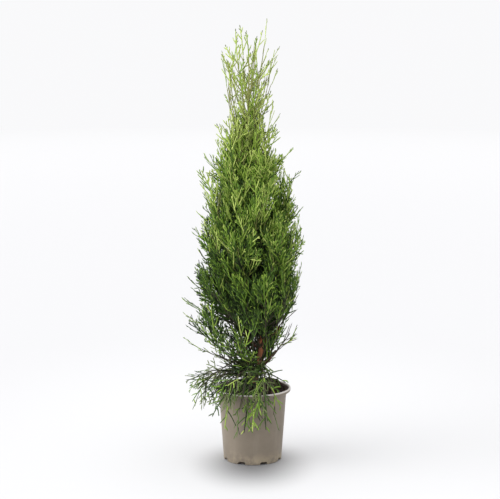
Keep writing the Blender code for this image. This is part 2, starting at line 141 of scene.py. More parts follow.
# How far the crown stands from the trunk by height: to the left, and to the right
CROWN_OUTLINE = (
    (0.05, 0.118, 0.106),
    (0.12, 0.142, 0.106),
    (0.17, 0.156, 0.096),
    (0.23, 0.160, 0.084),
    (0.27, 0.178, 0.088),
    (0.32, 0.162, 0.098),
    (0.38, 0.144, 0.112),
    (0.45, 0.134, 0.122),
    (0.52, 0.130, 0.120),
    (0.59, 0.110, 0.114),
    (0.67, 0.108, 0.100),
    (0.72, 0.084, 0.078),
    (0.80, 0.060, 0.060),
    (0.89, 0.062, 0.070),
    (0.95, 0.052, 0.056),
    (0.985, 0.042, 0.046),
)
# How far its dense body stands from the trunk, inside that outline. Only lone shoots pass it.
BODY_OUTLINE = (
    (0.05, 0.086, 0.084),
    (0.12, 0.112, 0.094),
    (0.16, 0.140, 0.084),
    (0.21, 0.130, 0.050),
    (0.25, 0.126, 0.034),
    (0.30, 0.154, 0.044),
    (0.35, 0.160, 0.080),
    (0.41, 0.150, 0.107),
    (0.47, 0.116, 0.114),
    (0.53, 0.112, 0.116),
    (0.60, 0.088, 0.101),
    (0.67, 0.072, 0.077),
    (0.71, 0.043, 0.041),
    (0.75, 0.033, 0.036),
    (0.82, 0.051, 0.048),
    (0.88, 0.058, 0.052),
    (0.96, 0.040, 0.046),
)
SEED = 7
# How far growth keeps from the next mass's space and from limbs, and a bough's root from the trunk
SPACE_MARGIN = 0.0012
LIMB_MARGIN = 0.0012
ROOT_GAP = 0.0004
COLLAR = 0.003
BOUGH_RADIUS = 0.0027
BOUGH_TIP_RADIUS = 0.0019
STEM_RADIUS = 0.0017
STEM_TIP_RADIUS = 0.0008
TWIG_RADIUS = 0.0011
STEM_END = 0.74
# Each limb of a tier leaves the trunk a little above the one before.
LIMB_STAGGER = 0.0075
# A limb's reach in crown reaches, how far its tip sways against its bend, and half the length of trunk
# that it stands square to
LIMB_REACH, TIP_SWAY, TRUNK_STEP = 0.96, 1.6, 0.004
# Where a limb's curve bends: how far out, as a share of its reach, and how far up, as a share of its
# climb. On the skirt the second is in metres.
LIMB_BEND, SKIRT_LIMB_BEND = (0.62, 0.32), (0.80, 0.050)
SKIRT_CLEARANCE = 0.004
SKIRT_FLOOR = 0.056
SKIRT_DROOP = 0.55
# A spray's teeth to its left and right: how far along it in lengths, and how far aside in half widths
SPRAY_LEFT_TEETH = ((0.38, 1.00), (0.82, 0.78))
SPRAY_RIGHT_TEETH = ((0.60, 0.98),)
TOOTH_RUN = 0.2
SPRAY_ANGLE = 38.0
SPRAY_SINK = 0.0012
PROBE_STEP = 0.004
CURVE_STEP = 0.02
# In radians: what stands round a stem is turned by it from the one before.
GOLDEN_ANGLE = 2.4
# Where along the stem its side twigs and sprays begin, with a bare bough and without, and where they end
STEM_FROM, TRUNK_STEM_FROM = 0.10, 0.20
LAST_TWIG_AT, LAST_SPRAY_AT, END_SPRAY_AT = 0.86, 0.92, 0.97
# Where a twig's end spray leaves it, and the lengths of that one and the others in spray lengths
TWIG_END_AT, TWIG_END_SPRAY, TWIG_SIDE_SPRAY = 0.90, 0.96, 0.86
# What doesn't fit is tried at each of these sizes by turns, then skipped.
TWIG_SIZES = (1.0, 0.8, 0.62, 0.48)
SPRAY_SIZES = (1.0, 0.85, 0.7)
FINE_TWIG_SIZES = (1.0, 0.75, 0.5, 0.3)
FINE_SPRAY_SIZES = (1.0, 0.8, 0.6, 0.45)
# The degrees by which growth leans away from what bears it
TWIG_ANGLES = (32, 48)
STEM_SPRAY_ANGLES = (30, 44)
TWIG_SPRAY_ANGLES = (24, 42)
FINE_TWIG_ANGLES = (24, 44)
FINE_TWIG_SPRAY_ANGLES = (26, 46)
BOUGH_SPRAY_ANGLES = (24, 60)
TRUNK_SPRAY_ANGLES, SKIRT_TRUNK_SPRAY_ANGLES = (8, 40), (25, 80)

# The finer growth, tier by tier: how many slighter limbs stand beside the main one, how many further
# twigs each limb has, how many further sprays a twig has, how many stand on the bare bough and on the
# trunk beside it, and how strongly twigs and sprays turn up (or down, below zero).
FINER_GROWTH = {
    "skirt": (2, 3, 1, 6, 12, -0.10),
    "low": (2, 3, 2, 4, 9, 0.48),
    "lower": (3, 5, 3, 7, 15, 0.42),
    "middle": (3, 6, 3, 6, 15, 0.45),
    "upper": (3, 6, 3, 0, 15, 0.50),
    "high": (3, 6, 3, 0, 15, 0.50),
    "neck": (3, 5, 3, 0, 20, 0.45),
    "plume": (2, 5, 1, 0, 13, 0.12),
    "tip": (1, 3, 0, 0, 1, 0.05),
}
# The shape of a spray, tier by tier: the step between its side branchlets, their angle in degrees, their
# length against the solid's spray, how far it bends up over its length, and how many branchlets of the
# third order a long one bears.
SPRAY_SHAPES = {
    "skirt": (0.0126, 44, 1.55, -0.14, 0.3),
    "low": (0.0102, 38, 1.25, 0.18, 0.9),
    "lower": (0.0082, 37, 1.25, 0.20, 1.1),
    "middle": (0.0080, 36, 1.25, 0.20, 1.2),
    "upper": (0.0080, 35, 1.25, 0.20, 1.2),
    "high": (0.0080, 34, 1.25, 0.18, 1.0),
    "neck": (0.0092, 33, 1.20, 0.14, 0.5),
    "plume": (0.0200, 32, 1.85, 0.10, 0.0),
    "tip": (0.0220, 32, 2.30, 0.05, 0.0),
}
# Lone shoots that stand out of the dense body: the bearing in degrees, the height of the outermost tip
# and its distance from the pot's axis, and how many tints lighter it is. The front view shows those at
# the sides, those over the pot's front rim and, on the skirt, three short ones at the trunk's foot. The
# rest follow the same rule.
LONE_SHOOTS = {
    "skirt": ((236, 0.122, 0.104, -0.5), (252, 0.104, 0.106, -0.9), (271, 0.120, 0.104, 1.8),
              (285, 0.124, 0.103, -0.5), (262, 0.118, 0.108, -0.3), (278, 0.216, 0.044, 0.9),
              (300, 0.206, 0.054, 0.5), (250, 0.204, 0.050, 0.3)),
    "low": ((179, 0.294, 0.158, 0.6), (189, 0.350, 0.152, 0.6), (170, 0.375, 0.152, 0.0),
            (3, 0.290, 0.072, -1.5), (262, 0.290, 0.112, 0.0), (215, 0.318, 0.088, 0.0),
            (236, 0.306, 0.072, 0.0), (200, 0.300, 0.112, 0.3)),
    "lower": ((174, 0.420, 0.142, 0.0), (187, 0.382, 0.154, 0.6), (95, 0.390, 0.118, 0.0),
              (300, 0.400, 0.110, -0.8)),
    "middle": ((178, 0.528, 0.130, -0.6), (2, 0.470, 0.108, 0.0), (255, 0.480, 0.118, -1.3),
               (60, 0.500, 0.118, 0.0)),
    "upper": ((183, 0.600, 0.112, 0.0), (2, 0.575, 0.110, 0.0), (280, 0.590, 0.104, 0.0)),
    "high": ((186, 0.702, 0.084, -0.6), (175, 0.680, 0.103, -0.6), (170, 0.724, 0.072, 0.0),
             (356, 0.708, 0.090, -0.6), (7, 0.655, 0.104, 0.0), (90, 0.690, 0.090, 0.0),
             (262, 0.700, 0.084, 0.0)),
    "neck": ((168, 0.770, 0.064, 0.0), (6, 0.775, 0.064, 0.0), (250, 0.770, 0.060, 0.0)),
    "plume": ((184, 0.905, 0.078, 0.0), (352, 0.918, 0.062, 0.0), (100, 0.890, 0.060, 0.0)),
}
# A lone shoot leaves the trunk a drop below its tip, but never nearer the soil than its clearance. Its
# wood ends a share of a spray short of the tip. Its curve bends as a limb's does.
LONE_DROP = 0.095
LONE_CLEARANCE = 0.02
LONE_END = 0.55
LONE_BEND, SKIRT_LONE_BEND = (0.55, 0.25), (0.66, 0.055)
# Its sprays: how far along it, to which hand (0 is straight on), and the length in spray lengths. They
# are longer on the skirt, and one that would pass the box is made shorter until it fits.
LONE_SPRAYS = ((1.0, 0, 0.75), (0.94, 1, 0.32), (0.86, -1, 0.38), (0.76, 1, 0.42), (0.64, -1, 0.46),
               (0.52, 1, 0.46))
LONE_SKIRT_LENGTH = 1.3
LONE_SHORTER = 0.85
# No lone shoot ends further than this past the solids' box at the sides.
BOX_SLACK = 0.014
# Bare stretches of trunk at the front: the lowest and highest height, and half their width. They are
# seen from above, by a slope.
TRUNK_WINDOWS = ((0.226, 0.272, 0.013),)
SIGHT_SLOPE = 0.21
SIGHT_SHARES = (0.1, 0.3, 0.5, 0.7, 0.9, 1.05)
# How far fine growth may cross into the next space, with more room above and below, and how far the
# sprays on the trunk may. A spray is tried no wider than the width, and nothing grows past the top.
FINER_SLACK, TRUNK_SLACK = 0.012, 0.032
SLACK_ABOVE, SLACK_BELOW = 2.5, 1.5
FINER_WIDTH = 0.16
FINER_TOP = FRAME_BOX[1].z - 0.008
# Depth runs from 0 at the trunk to 1 at the surface of the dense body. The low tier's first sprays keep
# within their own depth. Fine sprays thin out from one depth to another, down to a share of them.
OWN_DEPTH = 1.10
THIN_FROM, THIN_TO, THIN_SHARE = 0.70, 1.18, 0.16
# A side limb's tip stands below the main limb's by up to a fall, and inside a depth. On the skirt it
# stands above or below. Its twigs begin and end at these shares of it.
SIDE_LIMB_FALL = 0.060
SIDE_LIMB_DEPTH = 0.95
SKIRT_LIMB_RISE = (-0.030, 0.050)
SIDE_LIMB_START, SIDE_LIMB_END = 0.25, 0.92
# The heights between which sprays leave the trunk
TRUNK_SPRAYS_FROM, TRUNK_SPRAYS_TO = SOIL_CROWN + 0.006, 0.90

# A spray's side branchlets stand on a run that starts a little above its foot. Their lengths are shares
# of the spray's, for a mass of the usual width, and none is shorter than the shortest.
FAN_START, FAN_RUN = 0.08, 0.88
FAN_LENGTH = 0.42
USUAL_WIDTH = 0.27
SHORTEST_BRANCHLET = 0.0070
ANGLE_SPREAD = 7
# Widths in branchlet widths: a spray's axis and its forks
AXIS_WIDTH, FORK_WIDTH = 1.12, 0.9
# Branchlets longer than the first bear forks, one for each length of the second.
FORKED_FROM, FORK_STEP = 0.0090, 0.018
# Within the coarse depth and outside the open depth a spray has fewer branchlets, by these steps.
COARSE_DEPTH, COARSE_STEP = 0.45, 1.35
OPEN_DEPTH, OPEN_STEP, OPEN_FORKS = 1.0, 1.25, 0.4
BUD_WIDTH = 0.0026

# The scale of tints, from the darkest to the palest, which also paints light and shade on the
# foliage, and two that stand apart from it
TINTS = ("dark", "shade", "deep", "green", "fresh", "lime", "pale", "bud", "dry")
DARK, PALE, BUD, DRY = (TINTS.index(name) for name in ("dark", "pale", "bud", "dry"))
# A spray's painted light and shade, in steps of that scale: low in the crown, what height adds
# between two heights, what painted shade takes away towards the trunk, and what the skirt and the
# plume add
LIGHT_LOW, LIGHT_BY_HEIGHT, LIGHT_BY_SHADE = 3.3, 2.85, 4.8
LIGHTER_FROM, LIGHTER_OVER = 0.34, 0.52
SKIRT_LIGHT, PLUME_LIGHT, FORK_LIGHT = -0.5, 0.4, 0.3
# How widely lights differ from spray to spray, tints from branchlet to branchlet, and the tints of
# whole sprays
LIGHT_SPREAD, TINT_SPREAD, WHOLE_SPREAD = 0.45, 1.3, 0.5
DRY_DEPTH, DRY_SHARE = 0.35, 0.06
OLIVE_SHARE = 0.30

# The soil: its radius at the top, the height of its underside, and (radius, height) down its side
SOIL_RADIUS = 0.0730
SOIL_BOTTOM = 0.0062
SOIL_SIDE = ((0.0722, 0.135), (0.0680, 0.070), (0.0635, 0.010), (0.0600, 0.0066), (0.02, SOIL_BOTTOM))
# Its lumps: their spacing, their depth and the angle that they are turned by
SOIL_LUMPS = ((0.021, 0.0016, 0.4), (0.0093, 0.0011, 1.7), (0.0047, 0.0006, 2.9))
# Its crumbs: where the heap's lie, how far out any may lie, and the least and greatest size
CRUMB_HEAP = (0.048, 0.036)
CRUMB_REACH, CRUMB_WALL = 0.0715, 0.0750
CRUMB_LEAST, CRUMB_GREATEST = 0.0008, 0.0048

# The stage: where the painted shade at the pot's foot lies and how it is stretched, and where the key
# light stands and how narrow it is
SHADOW_PLACE, SHADOW_STRETCH = (0, 0.043, 0), (0.95, 0.67, 1.0)
KEY_WAY = Vector((-0.90, -0.26, 0.42)).normalized()
KEY_POWER = 8.0


def length_prop(name, description, default):
    """A size in metres that the panel shows."""
    return FloatProperty(name=name, description=description, default=default, min=0.0, unit="LENGTH")


def colour_prop(name, description, default):
    """A linear colour that the panel shows."""
    return FloatVectorProperty(
        name=name, description=description, default=default, subtype="COLOR", min=0.0, max=1.0
    )


class PotSettings(PropertyGroup):
    wall: length_prop("Wall", "Thickness of the moulded wall", 0.0016)
    foot: length_prop("Foot radius", "Radius of the wall where it meets the underside", 0.065)
    shoulder: length_prop("Shoulder radius", "Radius of the wall under the flared rim", 0.0747)
    shoulder_height: length_prop("Shoulder height", "Height of the foot of the flared rim", 0.143)
    notch_width: length_prop("Notch width", "Width of each drain notch along the foot", 0.019)
    notch_height: length_prop("Notch height", "Height of each drain notch", 0.0060)
    notches: IntProperty(name="Notches", description="Drain notches round the foot", default=8, min=0)
    colour: colour_prop("Plastic", "Main colour of the plastic", (0.192, 0.161, 0.124))
    worn: colour_prop("Scuffs", "Colour of the drag marks", (0.300, 0.262, 0.215))
    limed: colour_prop("Limescale", "Colour of the patches by the foot", (0.40, 0.335, 0.235))
    # The lip's colour is a painted highlight along the top of the rolled lip.
    lip: colour_prop("Lip", "Colour of the worn lip", (0.46, 0.43, 0.40))
    # The inside's colour is partly a stain from the wet soil and partly painted shade.
    stained: colour_prop("Stained", "Colour of the inside, wet from the soil", (0.060, 0.036, 0.028))


class SoilSettings(PropertyGroup):
    crumbs: IntProperty(name="Crumbs", description="Loose lumps on the soil", default=900, min=0)
    crumb: length_prop("Crumb size", "Mean radius of a lump", 0.0021)
    heap: length_prop("Heap", "How high the soil is heaped behind on the right", 0.011)
    colour: colour_prop("Soil", "Colour of damp potting soil", (0.014, 0.008, 0.006))
    dry_colour: colour_prop("Dry soil", "Colour of its drier fibres", (0.062, 0.028, 0.017))


class BarkSettings(PropertyGroup):
    relief: length_prop("Relief", "Depth of the fibrous ridges at the foot of the trunk", 0.0008)
    red: colour_prop("Red bark", "Colour of the fresh strips of old bark", (0.400, 0.135, 0.052))
    grey: colour_prop("Grey bark", "Colour of the weathered ridges", (0.150, 0.082, 0.052))
    fleck: colour_prop("Flecks", "Colour of the pale flecks on old bark", (0.34, 0.19, 0.12))
    young: colour_prop("Young bark", "Colour of the leader high in the crown", (0.300, 0.320, 0.085))
    twig: colour_prop("Brown twigs", "Colour of the twigs low in the crown", (0.040, 0.034, 0.016))
    green_twig: colour_prop("Green twigs", "Colour of the twigs above them", (0.210, 0.225, 0.060))


class FoliageSettings(PropertyGroup):
    branchlet: length_prop("Branchlet width", "Width of a scaly side branchlet", 0.0029)
    ring: length_prop("Scale length", "Distance between two rings of scales", 0.0046)
    # The darker tints are painted shade, dealt to sprays deep in the crown, and the paler ones are
    # painted light, partly the paler young growth, dealt to sprays high up.
    dark: colour_prop("Dark", "Foliage in the heart of the crown", (0.008, 0.015, 0.004))
    shade: colour_prop("Shade", "Oldest foliage, deep in the crown", (0.017, 0.037, 0.006))
    deep: colour_prop("Deep green", "Foliage low in the crown", (0.038, 0.079, 0.011))
    green: colour_prop("Green", "Foliage in mid-crown", (0.074, 0.146, 0.017))
    fresh: colour_prop("Fresh green", "Foliage high in the crown", (0.144, 0.248, 0.027))
    lime: colour_prop("Lime", "Young foliage at the top", (0.248, 0.364, 0.052))
    pale: colour_prop("Pale shoots", "Youngest shoots at the top", (0.392, 0.486, 0.115))
    bud: colour_prop("Buds", "Olive buds at the ends of shoots, and olive sprays", (0.130, 0.165, 0.056))
    dry: colour_prop("Dry sprays", "Few dead sprays close to the trunk", (0.200, 0.085, 0.035))


class StageSettings(PropertyGroup):
    distance: length_prop("Camera distance", "From the camera to the pot's axis", 3.29)
    height: length_prop("Camera height", "Height of the camera over the floor", 0.955)
    floor: colour_prop("Floor", "Colour of the floor", (0.488, 0.488, 0.491))
    sky: colour_prop("Surround", "Colour of the light all round", (0.950, 0.950, 0.962))
    top: FloatProperty(name="Overhead", description="Brightness overhead, in horizons", default=2.0)
    key: FloatProperty(name="Key light", description="Brightness of the soft key", default=4.4)


class ArborvitaeSettings(PropertyGroup):
    pot: PointerProperty(type=PotSettings)
    soil: PointerProperty(type=SoilSettings)
    bark: PointerProperty(type=BarkSettings)
    foliage: PointerProperty(type=FoliageSettings)
    stage: PointerProperty(type=StageSettings)


# Reading smooth lines


def hermite(rows, height):
    """A smooth line through rows of (height, values...), read at a height. Its slope at each row is
    that of the chord between the rows on either side."""
    last = len(rows) - 1
    height = min(max(height, rows[0][0]), rows[last][0])
    at = next(i for i in range(last) if height <= rows[i + 1][0])
    low, high = rows[at], rows[at + 1]
    before, after = rows[max(at - 1, 0)], rows[min(at + 2, last)]
    span = high[0] - low[0]
    t = (height - low[0]) / span
    read = []
    for column in range(1, len(low)):
        slope_low = (high[column] - before[column]) / (high[0] - before[0]) * span
        slope_high = (after[column] - low[column]) / (after[0] - low[0]) * span
        read.append(
            (2 * t**3 - 3 * t**2 + 1) * low[column]
            + (t**3 - 2 * t**2 + t) * slope_low
            + (3 * t**2 - 2 * t**3) * high[column]
            + (t**3 - t**2) * slope_high
        )
    return read


def ring_heights():
    """Heights of the solid trunk's rings: bunched in the flare, close along the bow, then wider."""
    heights = [TRUNK_FOOT + rise for rise in FLARE_RINGS]
    while heights[-1] < TRUNK_BENDS[-1][0]:
        step = LOW_RING_STEP if heights[-1] < HIGH_RINGS_FROM else HIGH_RING_STEP
        heights.append(min(heights[-1] + step, TRUNK_BENDS[-1][0]))
    return heights


RINGS = ring_heights()
RING_CENTRES = [hermite(TRUNK_BENDS, max(height, RINGS[1])) for height in RINGS]


def trunk_point(height):
    """A place on the straight lengths that join the trunk's rings."""
    x, y = (np.interp(height, RINGS, column) for column in zip(*RING_CENTRES))
    return Vector((x, y, height))


def trunk_radius(height):
    """Tapers by a power of the height left to the tip, with a flare that dies away above the soil."""
    foot, top = TRUNK_BENDS[0][0], TRUNK_BENDS[-1][0]
    left = max(0.0, (top - height) / (top - foot))
    taper = TRUNK_TIP_RADIUS + (TRUNK_RADIUS - TRUNK_TIP_RADIUS) * left**TRUNK_TAPER
    return taper + FLARE * math.exp(-(height - foot) / FLARE_HEIGHT)


def reader(value, column):
    """Reads one column of a function of height from a fine table, for whole arrays of heights."""
    heights = np.linspace(0.0, 1.0, 401)
    table = np.array([value(height)[column] for height in heights])
    return lambda height: np.interp(height, heights, table)


TRUNK_X = reader(trunk_point, 0)
TRUNK_Y = reader(trunk_point, 1)
TRUNK_SIZE = reader(lambda height: [trunk_radius(max(height, TRUNK_FOOT))], 0)
LEFT_REACH = reader(lambda height: hermite(CROWN_OUTLINE, height), 0)
RIGHT_REACH = reader(lambda height: hermite(CROWN_OUTLINE, height), 1)
LEFT_BODY = reader(lambda height: hermite(BODY_OUTLINE, height), 0)
RIGHT_BODY = reader(lambda height: hermite(BODY_OUTLINE, height), 1)


# Growing the crown


def heading(bearing):
    """The level way of a bearing in radians, from +X towards +Y."""
    return Vector((math.cos(bearing), math.sin(bearing), 0.0))


def level_side(way):
    """The level way to the right of another."""
    return way.cross(Vector((0, 0, 1))).normalized()


def leaning(way, side, angle):
    """A way turned by an angle towards a side that is square to it."""
    return way * math.cos(angle) + side * math.sin(angle)


def turned_about(vector, axis, angle):
    return Matrix.Rotation(angle, 3, axis) @ vector


def spun_side(way, spin):
    """A side that is square to a way, turned about it by a spin."""
    return turned_about(way.orthogonal().normalized(), way, spin)


def bezier(first, handle, last, share):
    """A place on the curve that leaves its first point for the handle and reaches its last from there."""
    return first.lerp(handle, share).lerp(handle.lerp(last, share), share)


def crown_reach(height, bearing):
    """How far the crown stands from the trunk at a height, on one side of it."""
    left, right = LEFT_REACH(height), RIGHT_REACH(height)
    return (left + right) / 2 - (left - right) / 2 * np.cos(bearing)


def body_depth(place):
    """How far out a place is, from 0 at the trunk to 1 at the surface of the crown's dense body."""
    out_x, out_y = place.x - TRUNK_X(place.z), place.y - TRUNK_Y(place.z)
    left, right = LEFT_BODY(place.z), RIGHT_BODY(place.z)
    share = out_x / max(math.hypot(out_x, out_y), 1e-6)
    return math.hypot(out_x, out_y) / ((left + right) / 2 - (left - right) / 2 * share)


def hides_trunk(place, end):
    """Whether a line passes in front of a bare stretch of the trunk, seen from a little above."""
    for share in SIGHT_SHARES:
        point = place.lerp(end, share)
        middle = trunk_point(point.z)
        seen = point.z + (point.y - middle.y) * SIGHT_SLOPE
        for low, high, half in TRUNK_WINDOWS:
            if low < seen < high and point.y < middle.y and abs(point.x - middle.x) < half:
                return True
    return False


def in_box(point):
    """Whether a point is inside the solids' box, or past its sides by less than the slack."""
    low, high = FRAME_BOX
    beside = all(low[i] - BOX_SLACK < point[i] < high[i] + BOX_SLACK for i in (0, 1))
    return beside and point.z > BOX_SLACK


class Mass:
    """One mass of foliage: its place among the tiers, its limb and the space that it keeps to."""

    def __init__(self, tier_index, place):
        name, count, spread, first, attach, tip, bare, spray, width, twigs = TIERS[tier_index]
        self.random = random.Random(SEED * 1000 + tier_index * 20 + place)
        self.finer_random = random.Random(SEED * 1000 + tier_index * 20 + place + 500)
        self.tier_name = name
        self.name = f"{name}_{place + 1}"
        self.tier = tier_index
        self.bare = bare
        self.spray = spray
        self.width = width
        self.twigs = twigs
        self.skirt = tier_index == SKIRT
        self.half_angle = math.radians(spread / 2)
        self.azimuth = math.radians(first + spread * place)
        swing = self.azimuth + self.random.uniform(-0.25, 0.25) * self.half_angle
        attach += (place - (count - 1) / 2) * LIMB_STAGGER
        tip += self.random.uniform(-0.012, 0.012)
        self.full_reach = self.random.uniform(0.94, 1.05)
        reach = crown_reach(tip, swing) * self.full_reach * LIMB_REACH
        away = heading(swing)
        across = Vector((-away.y, away.x, 0.0)) * self.random.uniform(-0.10, 0.10) * reach
        run = (trunk_point(attach + TRUNK_STEP) - trunk_point(attach - TRUNK_STEP)).normalized()
        square = (away - run * away.dot(run)).normalized()
        start = trunk_radius(attach - BOUGH_RADIUS) + ROOT_GAP
        out, rise = SKIRT_LIMB_BEND if self.skirt else (LIMB_BEND[0], LIMB_BEND[1] * (tip - attach))
        base = trunk_point(attach)
        self.heart = base
        self.root = base + square * start
        self.collar = base + square * (start + COLLAR)
        self.handle = base + away * reach * out + across + Vector((0, 0, rise))
        self.tip = trunk_point(tip) + away * reach + across * TIP_SWAY

    def on_limb(self, share):
        return bezier(self.collar, self.handle, self.tip, share)

    def bough_line(self):
        """Points along the bare bough: flat against the trunk, then up the limb's curve."""
        steps = 4
        line = [self.on_limb(self.bare * step / steps) for step in range(steps + 1)]
        return [self.root] + line

    def keeps(self, points, slack=0.0):
        """True where every point is inside the mass's own space: between its two neighbours round
        the trunk, between the tiers below and above, in the crown's outline and outside the pot.
        Fine growth may cross into a neighbour's space by a slack."""
        height = points[:, 2]
        out_x = points[:, 0] - TRUNK_X(height)
        out_y = points[:, 1] - TRUNK_Y(height)
        distance = np.hypot(out_x, out_y)
        bearing = np.arctan2(out_y, out_x)
        turn = np.abs((bearing - self.azimuth + math.pi) % math.tau - math.pi)
        aside = distance * np.sin(np.minimum(self.half_angle - turn, math.pi / 2))
        low, high = TIER_FLOORS[self.tier], TIER_FLOORS[self.tier + 1]
        good = (distance > TRUNK_SIZE(height) + LIMB_MARGIN) & (aside > SPACE_MARGIN - slack)
        good &= height < high[0] + high[1] * distance - SPACE_MARGIN + slack * SLACK_ABOVE
        good &= distance < crown_reach(height, bearing) * self.full_reach
        if slack:
            good &= height < FINER_TOP
        if not self.skirt:
            floor = low[0] + low[1] * distance + SPACE_MARGIN - slack * SLACK_BELOW
            return bool((good & (height > floor)).all())
        above = height > max(POT_HEIGHT, SOIL_CROWN) + SKIRT_CLEARANCE
        beside = np.hypot(points[:, 0], points[:, 1]) > POT_RIM_RADIUS + SKIRT_CLEARANCE
        return bool((good & (above | beside) & (height > SKIRT_FLOOR)).all())


class Limbs:
    """Every bare bough as short straight lengths, each with a radius at both ends."""

    def __init__(self):
        self.starts, self.ends, self.first, self.last = [], [], [], []

    def add(self, line, radii):
        self.starts += line[:-1]
        self.ends += line[1:]
        self.first += radii[:-1]
        self.last += radii[1:]

    def freeze(self):
        self.starts, self.ends = np.array(self.starts), np.array(self.ends)
        self.first, self.last = np.array(self.first), np.array(self.last)

    def clear(self, points):
        """True where every point stands clear of every bough."""
        along = self.ends - self.starts
        apart = points[:, None, :] - self.starts
        share = np.clip((apart * along).sum(-1) / (along * along).sum(-1), 0.0, 1.0)
        gap = np.linalg.norm(apart - share[..., None] * along, axis=-1)
        return bool((gap - self.first - (self.last - self.first) * share > LIMB_MARGIN).all())


def probes(start, end):
    """Points a few millimetres apart from one place to another, without the first."""
    count = max(2, math.ceil((end - start).length / PROBE_STEP))
    return [start.lerp(end, step / count) for step in range(1, count + 1)]


def spray_probes(frame_at, length, width):
    """Points over a spray: along its axis and out along each of its teeth."""
    points = probes(frame_at.translation, frame_at @ Vector((length, 0, 0)))[1:]
    for x, y in SPRAY_LEFT_TEETH + tuple((x, -y) for x, y in SPRAY_RIGHT_TEETH):
        base = frame_at @ Vector((length * (x - TOOTH_RUN), 0, 0))
        points += probes(base, frame_at @ Vector((length * x, length * width * y, 0)))
    return points


def frame_along(place, way, side):
    """A frame at a place with +X along a way and +Y as near to a side as it can be."""
    x = way.normalized()
    y = (side - x * side.dot(x)).normalized()
    turn = Matrix((x, y, x.cross(y))).transposed()
    return Matrix.Translation(place) @ turn.to_4x4()


